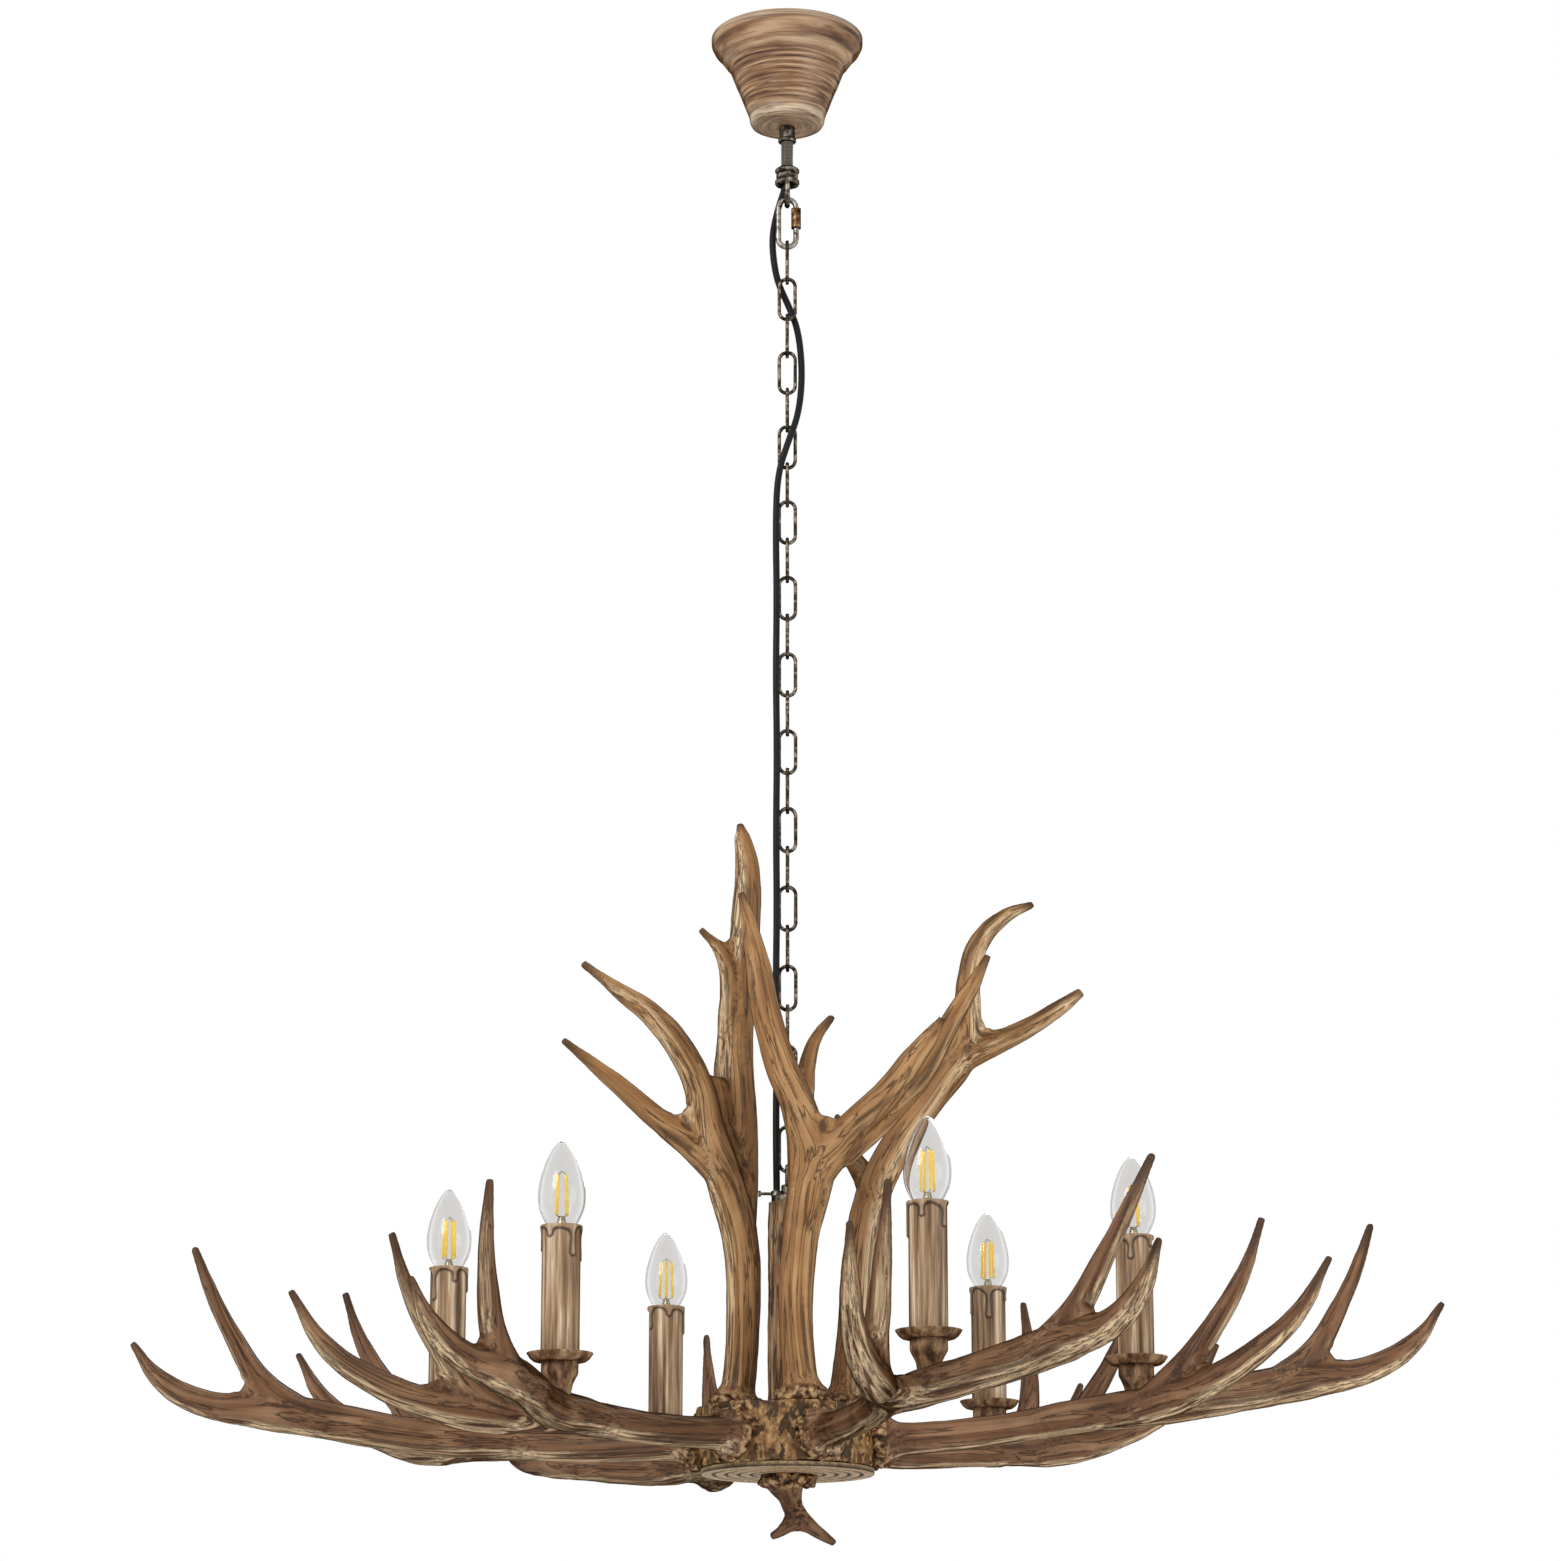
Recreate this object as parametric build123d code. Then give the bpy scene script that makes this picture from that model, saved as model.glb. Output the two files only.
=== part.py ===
from build123d import *
import math
import os

# Antler chandelier with six candle lights, hung from the ceiling on a chain.
# Millimetres. The ceiling is the plane Z = 0, the chandelier hangs down along -Z
# and the front, as in the photograph, looks towards -Y.

os.makedirs("parts", exist_ok=True)

# ---------------------------------------------------------------- fits
SEAT_GAP = 0.15         # between a hanging ring and the bar that it rests on
RUN_CLEAR = 0.06        # radial, a part that slides or screws on a round one
LOOSE_CLEAR = 0.4       # radial, a cable in its hole
SCREW_CLEAR = 0.05      # radial, a screw in its pilot hole

WIRE_SIDES = 8          # facets round bent wire, screws and small bores
CABLE_SIDES = 6
TURNED_SIDES = 12       # facets round turned pieces
WIDE_SIDES = 28         # facets round the canopy and the hub
BEND_STEPS = 6          # straight pieces in each half turn of a bent wire
CANDLE_SIDES = 10       # facets round the candle pieces, which are repeated on each arm

# ---------------------------------------------------------------- ceiling fitting
CANOPY_R = 62.5         # rim of the bell
CANOPY_H = 78.0
CANOPY_WALL = 1.2
CANOPY_RIM_H = 5.0      # upright edge of the rim
CANOPY_LIP = 14.5       # flare of the lip past the bell's body
CANOPY_WAIST_R = CANOPY_R - CANOPY_LIP
CANOPY_WAIST_Z = 25.0
CANOPY_TAPER = 17.0     # bell's body narrows by this, down to its rounded bottom edge
CANOPY_FOOT_R = CANOPY_WAIST_R - CANOPY_TAPER
CANOPY_EDGE_R = 6.0     # rounded bottom edge

BRACKET_INSET = 18.0    # screw slots inside the canopy's rim
BRACKET_SPACING = 2 * (CANOPY_R - BRACKET_INSET)
BRACKET_SLOT = 12.0
BRACKET_SLOT_R = 2.5
BRACKET_FLANGE = 18.0
BRACKET_WIDTH = 22.0
BRACKET_T = 2.0
BRACKET_DROP = 38.0     # underside of the bridge below the ceiling

NIPPLE_R = 5.0
NIPPLE_BORE_R = 3.75
NIPPLE_TOP = 31.0       # below the ceiling
NUT_FLATS = 15.0
NUT_T = 4.0

BLOCK_L = 22.0          # terminal block on the inner side of the bracket's leg
BLOCK_W = 9.5
BLOCK_H = 13.0
BLOCK_HOLE_R = 1.6

COLLAR_R = 6.4
COLLAR_H = 13.5
COLLAR_BEAD_R = 7.4
COLLAR_BEAD_H = 3.0

HEAD_TOP = 114.0        # loop head screwed on the nipple
HEAD_H = 15.0
HEAD_R = 7.6
HEAD_RING_R = 10.0
HEAD_MOUTH_R = 5.6      # flared mouth that the cable leaves by
LOOP_WIRE_R = 2.25
LOOP_HALF_WIDTH = 8.0
LOOP_BAR_DEPTH = 32.5   # centre of the loop's bar below the head's top

# ---------------------------------------------------------------- quick link and chain
QUICK_WIRE_R = 2.25
QUICK_WIDTH = 19.0
QUICK_LENGTH = 46.0
QUICK_GAP = 9.0
QUICK_GAP_DROP = 11.4   # top of the gap below the link's top
SLEEVE_NUT_FLATS = 8.0
SLEEVE_NUT_L = 17.0

LINK_WIRE_R = 1.5
LINK_WIDTH = 16.0
LINK_LENGTH = 38.0
LINK_COUNT = 24
LINK_SIDES = 6          # facets of the hammered wire
LINK_BEND_STEPS = 4     # straight pieces in each rounded end

# ---------------------------------------------------------------- column
EYE_WIRE_R = 2.0
EYE_R = 8.0
COLUMN_HEAD_R = 5.0
COLUMN_HEAD_H = 8.0
COLUMN_CAP_R = 12.5
COLUMN_CAP_T = 4.7
COLUMN_R = 15.0
COLUMN_BORE_R = 13.0
SPIGOT_H = 8.0
GLAND_X = -8.5
GLAND_R = 4.4
GLAND_H = 4.0
CLAMP_SCREW_R = 1.2
CLAMP_SCREW_L = 9.0
PIPE_R = 5.0
PIPE_BORE_R = 3.75
PIPE_END = 10.0         # into the finial

# ---------------------------------------------------------------- hub
DRUM_TOP = 1130.0       # below the ceiling
DRUM_R = 69.0
DRUM_WALL = 9.0
DRUM_H = 46.0
DRUM_PLATE = 8.0
DRUM_SEAT_DEPTH = 2.5   # flats cut for the arms
ARM_DROP = 25.0         # middle of the arms' burrs below the hub's top
DISC_STEP = 3.0         # disc inside the drum's side
DISC_R = DRUM_R - DISC_STEP
DISC_T = 4.0
BOLT_R = 2.5
BOLT_HEAD_R = 4.6
BOLT_HEAD_H = 3.0
BOLT_REACH = 24.0       # into the antler
BOLT_HOLE_TIP = 1.0     # hole past the bolt's end
BOLT_HEAD_SINK = 0.2    # head's seat inside the drum's facets

# ---------------------------------------------------------------- candles
ARM_COUNT = 6
FIRST_ARM = -8.0        # degrees from +X, anticlockwise seen from above
CANDLE_REACH = 199.5    # candle's axis from the arm's seat
ARM_LIFTS = (10.0, 6.0, -4.5, -3.5, -9.5, 2.0)     # each candle's height off the mean
LIFT_START = 10.5       # an arm rises or droops from its burr outwards
CANDLE_SEAT = 20.0      # flat on the arm, above the burrs' middle
PAN_FLOOR = 45.0        # top of the drip pan's floor, above the burrs' middle
PAN_R = 24.0
PAN_FLAT_R = 17.0
PAN_DEPTH = 5.0
PAN_WALL = 1.4
CUP_TOP_R = 13.5
CUP_FOOT_R = 8.0
CUP_POST_R = 4.0
CUP_POST_H = 10.0       # above the pan's floor
SLEEVE_R = 14.0
SLEEVE_WALL = 1.0
SLEEVE_H = 97.0
DRIP_DEPTH = 0.9
DRIP_COLLAR = 6.0
DRIP_LENGTHS = (26.0, 12.0, 19.0, 9.0, 23.0)
DRIP_ANGLE = 22.0
HOLDER_R = 11.5
HOLDER_SHORT = 7.0      # holder's top below the sleeve's top
CAP_R = 7.0
CAP_L = 22.0
CAP_FLANGE_R = 9.0
CAP_FLANGE_H = 1.6
BULB_NECK_DROP = 5.0    # glass foot below the sleeve's top
BULB_WALL = 0.8
BULB_TIP_R = 1.0
BULB_OUTSIDE = ((9.0, -5.0), (14.6, 7.5), (17.5, 21.0), (15.6, 37.0), (8.8, 53.5), (1.2, 62.0))
FILAMENT_COUNT = 4
FILAMENT_RING = 5.0
FILAMENT_SIZE = 1.5
FILAMENT_L = 29.0
STEM_H = 13.0
STEM_R = 3.2

# ---------------------------------------------------------------- cable
CABLE_R = 2.75
CABLE_END_GAP = 0.6     # between the cable and the gland below it
CABLE_KNEE_GAP = 2.0    # where the cable is parted at the chain's pivot
CABLE_PART_TOP = 1.5    # end of the ceiling's piece above the quick link's pivot
CABLE_PART_FOOT = 5.0   # start of the quick link's piece below that pivot
BEND_SHARE = 0.45       # of the shorter run that each bend takes up
TURN_R = 24.5           # turn from the nipple into the terminal block
TURN_CORNERS = (105, 135, 165)
KNEE = (-11.8, 3.1)     # where the cable passes the height of the chain's pivot

# ---------------------------------------------------------------- antlers
# A stroke is a list of (x, y, z, radius) along a beam or a tine. An arm runs along +X from its
# seat on the drum, at burr height; uprights stand on the hub's top, the finial hangs under the disc.
ANTLER_SIDES = 7

ARM_STROKES = {
    "beam": [
        (0, 0, 0, 17), (4.5, 0, 0, 20.5), (10.5, 0, 0, 18.5), (19.5, -1, 0, 13.2), (53.5, -4, 0, 12.2),
        (103.5, -7, 2, 12.2), (148.5, -14, 6, 13.2), (188.5, -32, 8, 13.2), (223.5, -52, 9, 13.2),
        (258.5, -76, 18, 11.5), (293.5, -98, 35, 9.5), (325.5, -114, 60, 7), (349.5, -124, 97, 2.2),
    ],
    "inner_tine": [
        (205.5, -42, 8, 11), (233.5, -56, 30, 10.2), (263.5, -65, 64, 8.2), (285.5, -71, 100, 5.8),
        (299.5, -74, 137, 2.2),
    ],
    "outer_beam": [
        (129.5, -8, 5, 10), (165.5, -6, 8, 12.8), (199.5, -1, 10, 14), (233.5, 12, 14, 14),
        (269.5, 30, 20, 14.5), (303.5, 43, 26, 15), (339.5, 53, 30, 12.8), (375.5, 61, 37, 10.2),
        (407.5, 65, 54, 7.5), (431.5, 67, 84, 2.2),
    ],
    "outer_tine": [
        (301.5, 42, 27, 12), (331.5, 54, 52, 9.6), (352.5, 66, 86, 7.4), (367.5, 78, 120, 5.4),
        (378.5, 90, 152, 2.2),
    ],
}

LEFT_UPRIGHT_FOOT = (-41, 17)
LEFT_UPRIGHT = {
    "beam": [
        (-41, 17, 0, 16), (-41, 17, 4, 19.5), (-40, 17, 10, 17), (-38, 17, 19, 13.6),
        (-34, 13, 83, 13.4), (-36, 9, 127, 14.2), (-48, 5, 174, 14.6), (-61, 1, 214, 13.4),
        (-70, -1, 252, 11.8), (-84, -2, 280, 11), (-104, -1, 305, 9.6), (-130, 2, 325, 6.6),
        (-161, 5, 349, 2.2),
    ],
    "low_tine": [
        (-52, 5, 181, 11.5), (-74, -2, 201, 10), (-106, -12, 227, 9), (-138, -22, 253, 6.8),
        (-174, -30, 281, 2.2),
    ],
    "blade": [
        (-36, 14, 115, 11), (-37, 24, 173, 14.5), (-40, 33, 231, 16.5), (-42, 39, 281, 15.5),
        (-37, 42, 341, 13), (-33, 41, 391, 12), (-32, 39, 433, 10), (-36, 37, 459, 6.5),
        (-38, 36, 470, 2.6),
    ],
    "side_tine": [
        (-44, 38, 275, 12), (-46, 36, 307, 9.4), (-46, 33, 337, 7.2), (-53, 29, 363, 5.4),
        (-69, 24, 381, 2.2),
    ],
}

FRONT_UPRIGHT_FOOT = (11, -43)
FRONT_UPRIGHT = {
    "beam": [
        (11, -43, 0, 16), (11, -43, 4, 19.5), (10, -43, 10, 17), (9, -43, 19, 13.6), (6, -46, 73, 13.2),
        (10, -50, 127, 14.2), (17, -54, 171, 17.5), (10, -58, 217, 14), (-6, -62, 257, 12.4),
        (-17, -64, 297, 11.4), (-23, -62, 333, 9.8), (-30, -58, 366, 6.2), (-36, -54, 392, 2.2),
    ],
    "right_tine": [
        (22, -56, 175, 15), (50, -62, 207, 12.6), (77, -70, 233, 11), (96, -76, 258, 9.2),
        (109, -80, 274, 6.8), (118, -82, 287, 2.4),
    ],
    "rear_tine": [
        (40, -54, 187, 12), (76, -44, 221, 11), (104, -38, 254, 9.6), (124, -32, 291, 8.4),
        (141, -28, 320, 6.6), (156, -24, 349, 2.4),
    ],
    "small_tine": [
        (10, -48, 207, 9), (13, -38, 239, 7.8), (16, -31, 265, 6.8), (22, -26, 283, 5.2),
        (35, -22, 301, 2.0),
    ],
}

BACK_UPRIGHT_FOOT = (42, 27)
BACK_UPRIGHT = {
    "beam": [
        (42, 27, 0, 16), (42, 27, 4, 19), (43, 27, 10, 16.5), (45, 27, 19, 13), (52, 28, 83, 12.4),
        (57, 28, 131, 13), (67, 30, 172, 13.8), (90, 32, 216, 13), (113, 34, 248, 12.4),
        (134, 36, 278, 13.4), (142, 38, 313, 11), (143, 40, 342, 9.6), (153, 43, 375, 8.6),
        (173, 46, 396, 6.4), (196, 50, 407, 2.4),
    ],
    "side_tine": [
        (130, 36, 275, 11), (162, 34, 290, 9.4), (189, 32, 303, 8.2), (212, 30, 317, 6.6),
        (232, 28, 331, 4.2),
    ],
    "rear_tine": [
        (66, 32, 167, 11), (62, 62, 187, 10), (54, 96, 207, 8.4), (46, 128, 229, 6.2),
        (40, 152, 255, 2.2),
    ],
}

FINIAL = {
    "beam": [
        (0, 0, 0, 17), (0, 0, -4, 20), (0, 0, -9, 15), (2, 0, -16, 9.5), (5, 0, -26, 8), (13, -1, -35, 6.6),
        (24, -3, -44, 4.8), (36, -4, -52, 1.8),
    ],
    "tine": [(9, 0, -27, 6.5), (4, -3, -35, 5.6), (-4, -5, -42, 4.2), (-13, -6, -47, 1.8)],
}

# ---------------------------------------------------------------- derived heights
CANOPY_BOTTOM = -CANOPY_H
COLLAR_TOP = CANOPY_BOTTOM - 0.3
HEAD_Z = -HEAD_TOP
LOOP_BAR_Z = HEAD_Z - LOOP_BAR_DEPTH
QUICK_TOP = LOOP_BAR_Z + LOOP_WIRE_R + SEAT_GAP + 2 * QUICK_WIRE_R
QUICK_BAR_Z = QUICK_TOP - QUICK_LENGTH + QUICK_WIRE_R
LINK_TOP = QUICK_BAR_Z + QUICK_WIRE_R + SEAT_GAP + 2 * LINK_WIRE_R
LINK_PITCH = LINK_LENGTH - 4 * LINK_WIRE_R - SEAT_GAP
LINK_FIRST = LINK_TOP - LINK_LENGTH / 2
CHAIN_BAR_Z = LINK_FIRST - LINK_PITCH * (LINK_COUNT - 1) - LINK_LENGTH / 2 + LINK_WIRE_R
EYE_Z = CHAIN_BAR_Z + LINK_WIRE_R + SEAT_GAP + EYE_WIRE_R - EYE_R
COLUMN_HEAD_TOP = EYE_Z - EYE_R + EYE_WIRE_R / 2
CAP_TOP = COLUMN_HEAD_TOP - COLUMN_HEAD_H
COLUMN_TOP = CAP_TOP - COLUMN_CAP_T
ARM_Z = -DRUM_TOP - ARM_DROP
ARM_SEAT = DRUM_R - DRUM_SEAT_DEPTH
CANDLE_RADIUS = ARM_SEAT + CANDLE_REACH
DRUM_BOTTOM = -DRUM_TOP - DRUM_H
DISC_BOTTOM = DRUM_BOTTOM - DISC_T
PAN_Z = ARM_Z + PAN_FLOOR
SLEEVE_TOP = PAN_Z + SLEEVE_H
LEG_X = (BRACKET_SPACING - BRACKET_FLANGE) / 2
BLOCK_X = LEG_X - BRACKET_T / 2 - BLOCK_W / 2
BLOCK_Z = -NIPPLE_TOP - 3.0 + TURN_R
GLAND_TOP = CAP_TOP + GLAND_H


def turn_corner(degrees):
    """Corner of the cable's turn above the nipple, round a centre beside the nipple."""
    angle = math.radians(degrees)
    reach = TURN_R / math.cos(math.radians(15))
    return (TURN_R + reach * math.cos(angle), 0.0, BLOCK_Z - TURN_R + reach * math.sin(angle))


# Corners of the cable's route. It turns out of the terminal block into the nipple, leaves the
# loop head behind the quick link, passes behind the second chain link to the right, in front
# of the sixth to the left, and ends above the gland on the column's head.
CABLE_ROUTE = [
    (BLOCK_X - BLOCK_W / 2 - 0.3, 0.0, BLOCK_Z),
    *[turn_corner(degrees) for degrees in TURN_CORNERS],
    (0.15, 0.0, -52.0),
    (-0.1, 0.1, -90.0),
    (0.0, 0.0, -126.0),
    (-8.0, 7.4, -148.0),
    (KNEE[0] - 0.6, KNEE[1] + 0.3, QUICK_BAR_Z + 11.4),
    (KNEE[0] + 0.6, KNEE[1] - 0.3, QUICK_BAR_Z - 11.4),
    (-7.4, 6.6, -213.0),
    (1.5, 8.6, -232.0),
    (9.4, 5.6, -255.0),
    (12.4, 0.4, -294.0),
    (9.2, -5.6, -330.0),
    (0.0, -8.4, -356.0),
    (-8.0, -5.4, -382.0),
    (-9.4, -4.9, -424.0),
    (-8.4, -5.3, -484.0),
    (-9.2, -4.8, -548.0),
    (-8.2, -5.2, -612.0),
    (-9.0, -5.4, -676.0),
    (-8.3, -4.8, -740.0),
    (-9.1, -5.2, -800.0),
    (-8.4, -4.9, -856.0),
    (-9.0, -5.2, -906.0),
    (-8.7, -4.8, -942.0),
    (GLAND_X, -0.1, GLAND_TOP + 5.4),
    (GLAND_X, 0.0, GLAND_TOP + CABLE_END_GAP),
]


def arm_angles():
    return [FIRST_ARM + 360 / ARM_COUNT * k for k in range(ARM_COUNT)]


def prism(radius, sides, bottom, top):
    """Upright many-sided bar about the axis."""
    return Pos(0, 0, bottom) * extrude(RegularPolygon(radius, sides), top - bottom)


def pipe(radius, bore, bottom, top):
    """Upright pipe about the axis."""
    return prism(radius, TURNED_SIDES, bottom, top) - prism(bore, TURNED_SIDES, bottom, top)


def hex_nut(flats, bore, bottom, top, bore_sides=TURNED_SIDES):
    """Hexagonal nut or sleeve about the axis."""
    outline = RegularPolygon(flats / 2, 6, major_radius=False) - RegularPolygon(bore, bore_sides)
    return Pos(0, 0, bottom) * extrude(outline, top - bottom)


def wall(a, b, c, d):
    """Flat wall with four corners, or two flat ones where the corners don't lie in one plane."""
    if abs((b - a).cross(d - a).dot(c - a)) < 1e-6:
        return [Face(Wire.make_polygon([a, b, c, d]))]
    return [Face(Wire.make_polygon([a, b, c])), Face(Wire.make_polygon([a, c, d]))]


def skin(rings):
    """Solid with flat walls from ring to ring of points, and a flat cap at each end."""
    faces = [Face(Wire.make_polygon(rings[0])), Face(Wire.make_polygon(rings[-1]))]
    for low, high in zip(rings, rings[1:]):
        for k in range(len(low)):
            faces += wall(low[k - 1], low[k], high[k], high[k - 1])
    return Solid(Shell(faces))


def ring_points(plane, radius, sides):
    """Corners of a regular polygon on a plane."""
    turns = [2 * math.pi * k / sides for k in range(sides)]
    return [plane.from_local_coords(Vector(radius * math.cos(t), radius * math.sin(t))) for t in turns]


def turned(points, sides):
    """Turned piece about the axis: rings given as (radius, height), with flat facets between."""
    return skin([ring_points(Plane((0, 0, z)), r, sides) for r, z in points])


def bent_wire(corners, radius, normal):
    """Wire along straight pieces with mitred corners, all in the plane square to normal."""
    path = Polyline(*corners)
    section = Plane(origin=path @ 0, x_dir=normal, z_dir=path % 0) * RegularPolygon(radius, WIRE_SIDES)
    return sweep(section, path=path, transition=Transition.RIGHT)


def half_turn(radius, z, up=True):
    """Corners of a half turn of wire from +X to -X over the top, or from -X to +X underneath."""
    reach = radius / math.cos(math.pi / BEND_STEPS / 2)
    start = 0 if up else math.pi
    angles = [start + math.pi * (k + 0.5) / BEND_STEPS for k in range(BEND_STEPS)]
    return [(reach * math.cos(a), 0, z + reach * math.sin(a)) for a in angles]


# ---------------------------------------------------------------- ceiling fitting
def ceiling_bracket():
    inner = BRACKET_SPACING / 2 - BRACKET_FLANGE / 2
    outer = BRACKET_SPACING / 2 + BRACKET_FLANGE / 2
    line = Polyline(
        (-outer, 0, -BRACKET_T / 2),
        (-inner, 0, -BRACKET_T / 2),
        (-inner, 0, -BRACKET_DROP + BRACKET_T / 2),
        (inner, 0, -BRACKET_DROP + BRACKET_T / 2),
        (inner, 0, -BRACKET_T / 2),
        (outer, 0, -BRACKET_T / 2),
    )
    profile = Rectangle(BRACKET_T, BRACKET_WIDTH)
    strip = sweep(Plane(origin=line @ 0, z_dir=line % 0) * profile, path=line, transition=Transition.RIGHT)
    for side in (-1, 1):
        slot = SlotOverall(BRACKET_SLOT, 2 * BRACKET_SLOT_R)
        strip -= Pos(side * BRACKET_SPACING / 2, 0, -2 * BRACKET_T) * extrude(slot, 4 * BRACKET_T)
    hole = prism(NIPPLE_R + SCREW_CLEAR, TURNED_SIDES, -BRACKET_DROP - 1, -BRACKET_DROP + BRACKET_T + 1)
    return strip - hole


def bracket_nuts():
    bridge_top = -BRACKET_DROP + BRACKET_T
    upper = hex_nut(NUT_FLATS, NIPPLE_R + SCREW_CLEAR, bridge_top, bridge_top + NUT_T)
    lower = hex_nut(NUT_FLATS, NIPPLE_R + SCREW_CLEAR, -BRACKET_DROP - NUT_T, -BRACKET_DROP)
    return Compound(children=[upper, lower])


def threaded_nipple():
    return pipe(NIPPLE_R, NIPPLE_BORE_R, HEAD_Z - HEAD_H / 2, -NIPPLE_TOP)


def terminal_block():
    block = Pos(BLOCK_X, 0, BLOCK_Z) * Box(BLOCK_W, BLOCK_L, BLOCK_H)
    hole = prism(BLOCK_HOLE_R, WIRE_SIDES, BLOCK_Z, BLOCK_Z + BLOCK_H)
    for row in (-1, 0, 1):
        block -= Pos(BLOCK_X, row * BLOCK_L / 3, 0) * hole
    return block


def canopy_bell():
    w = CANOPY_WALL
    lip = -CANOPY_RIM_H
    outside = [
        (CANOPY_FOOT_R - CANOPY_EDGE_R, -CANOPY_H), (CANOPY_FOOT_R - 1.5, -CANOPY_H + 2),
        (CANOPY_FOOT_R, -CANOPY_H + CANOPY_EDGE_R), (CANOPY_WAIST_R, -CANOPY_WAIST_Z),
        (CANOPY_R - 9, lip - 13), (CANOPY_R - 3.5, lip - 6), (CANOPY_R, lip), (CANOPY_R, 0),
    ]
    inside = [
        (CANOPY_FOOT_R - CANOPY_EDGE_R, -CANOPY_H + w), (CANOPY_FOOT_R - w, -CANOPY_H + CANOPY_EDGE_R),
        (CANOPY_WAIST_R - w, -CANOPY_WAIST_Z), (CANOPY_R - w - 3.5, lip - 5),
        (CANOPY_R - w, lip), (CANOPY_R - w, 0),
    ]
    bell = turned(outside, WIDE_SIDES) - turned(inside, WIDE_SIDES)
    return bell - prism(NIPPLE_R + LOOSE_CLEAR, TURNED_SIDES, -CANOPY_H, -CANOPY_H + w)


def lock_collar():
    bottom = COLLAR_TOP - COLLAR_H
    outside = [
        (COLLAR_R, bottom), (COLLAR_BEAD_R, bottom + 1), (COLLAR_BEAD_R, bottom + COLLAR_BEAD_H - 1),
        (COLLAR_R, bottom + COLLAR_BEAD_H), (COLLAR_R, COLLAR_TOP),
    ]
    return turned(outside, TURNED_SIDES) - prism(NIPPLE_R + RUN_CLEAR, TURNED_SIDES, bottom, COLLAR_TOP)


def top_yoke():
    """Ringed head screwed on the nipple, with the wire loop that the quick link hangs on."""
    bottom = HEAD_Z - HEAD_H
    seat = HEAD_Z - HEAD_H / 2
    grooved = [
        (HEAD_RING_R, bottom), (HEAD_RING_R, bottom + 2.5), (HEAD_R, bottom + 4),
        (HEAD_RING_R - 1, bottom + 6), (HEAD_RING_R - 1, bottom + 8), (HEAD_R, bottom + 10),
        (HEAD_RING_R, bottom + 11.5), (HEAD_RING_R, bottom + 13), (HEAD_R, HEAD_Z),
    ]
    head = turned(grooved, TURNED_SIDES) - prism(NIPPLE_R + SCREW_CLEAR, TURNED_SIDES, seat, HEAD_Z)
    turn = LOOP_BAR_Z + LOOP_HALF_WIDTH
    legs = bottom + 2
    bend = half_turn(LOOP_HALF_WIDTH, turn, up=False)
    corners = [(-LOOP_HALF_WIDTH, 0, legs), *bend, (LOOP_HALF_WIDTH, 0, legs)]
    head += Rot(0, 0, 90) * bent_wire(corners, LOOP_WIRE_R, (0, 1, 0))
    return head - turned([(HEAD_MOUTH_R, bottom), (NIPPLE_BORE_R, seat)], TURNED_SIDES)


# ---------------------------------------------------------------- quick link and chain
def quick_link():
    half = QUICK_WIDTH / 2 - QUICK_WIRE_R
    high = QUICK_TOP - QUICK_WIDTH / 2
    low = QUICK_TOP - QUICK_LENGTH + QUICK_WIDTH / 2
    gap_top = QUICK_TOP - QUICK_GAP_DROP
    bends = [*half_turn(half, high), *half_turn(half, low, up=False)]
    corners = [(half, 0, gap_top), *bends, (half, 0, gap_top - QUICK_GAP)]
    return bent_wire(corners, QUICK_WIRE_R, (0, 1, 0))


def quick_link_sleeve():
    half = QUICK_WIDTH / 2 - QUICK_WIRE_R
    top = QUICK_TOP - QUICK_GAP_DROP + 1
    bore = QUICK_WIRE_R + RUN_CLEAR
    return Pos(half, 0, 0) * hex_nut(SLEEVE_NUT_FLATS, bore, top - SLEEVE_NUT_L, top, WIRE_SIDES)


def chain_link(index):
    """One oval link of hammered wire; every other link is turned a quarter."""
    half = LINK_WIDTH / 2 - LINK_WIRE_R
    straight = (LINK_LENGTH - LINK_WIDTH) / 2
    reach = half / math.cos(math.pi / LINK_BEND_STEPS / 2)
    corners = []
    for step in range(2 * LINK_BEND_STEPS):
        angle = math.pi * (step + 0.5) / LINK_BEND_STEPS
        shift = straight if step < LINK_BEND_STEPS else -straight
        corners.append((reach * math.cos(angle), 0, shift + reach * math.sin(angle)))
    start = (half, 0, 0)
    ring = Polyline(start, *corners, start)
    section = Plane(origin=start, x_dir=(0, 1, 0), z_dir=(0, 0, 1)) * RegularPolygon(LINK_WIRE_R, LINK_SIDES)
    link = sweep(section, path=ring, transition=Transition.RIGHT)
    return Pos(0, 0, LINK_FIRST - LINK_PITCH * index) * Rot(0, 0, 0 if index % 2 else 90) * link


def chain_links(first):
    """Every second link of the chain, from the one given."""
    return Compound(children=[chain_link(k) for k in range(first, LINK_COUNT, 2)])


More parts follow.
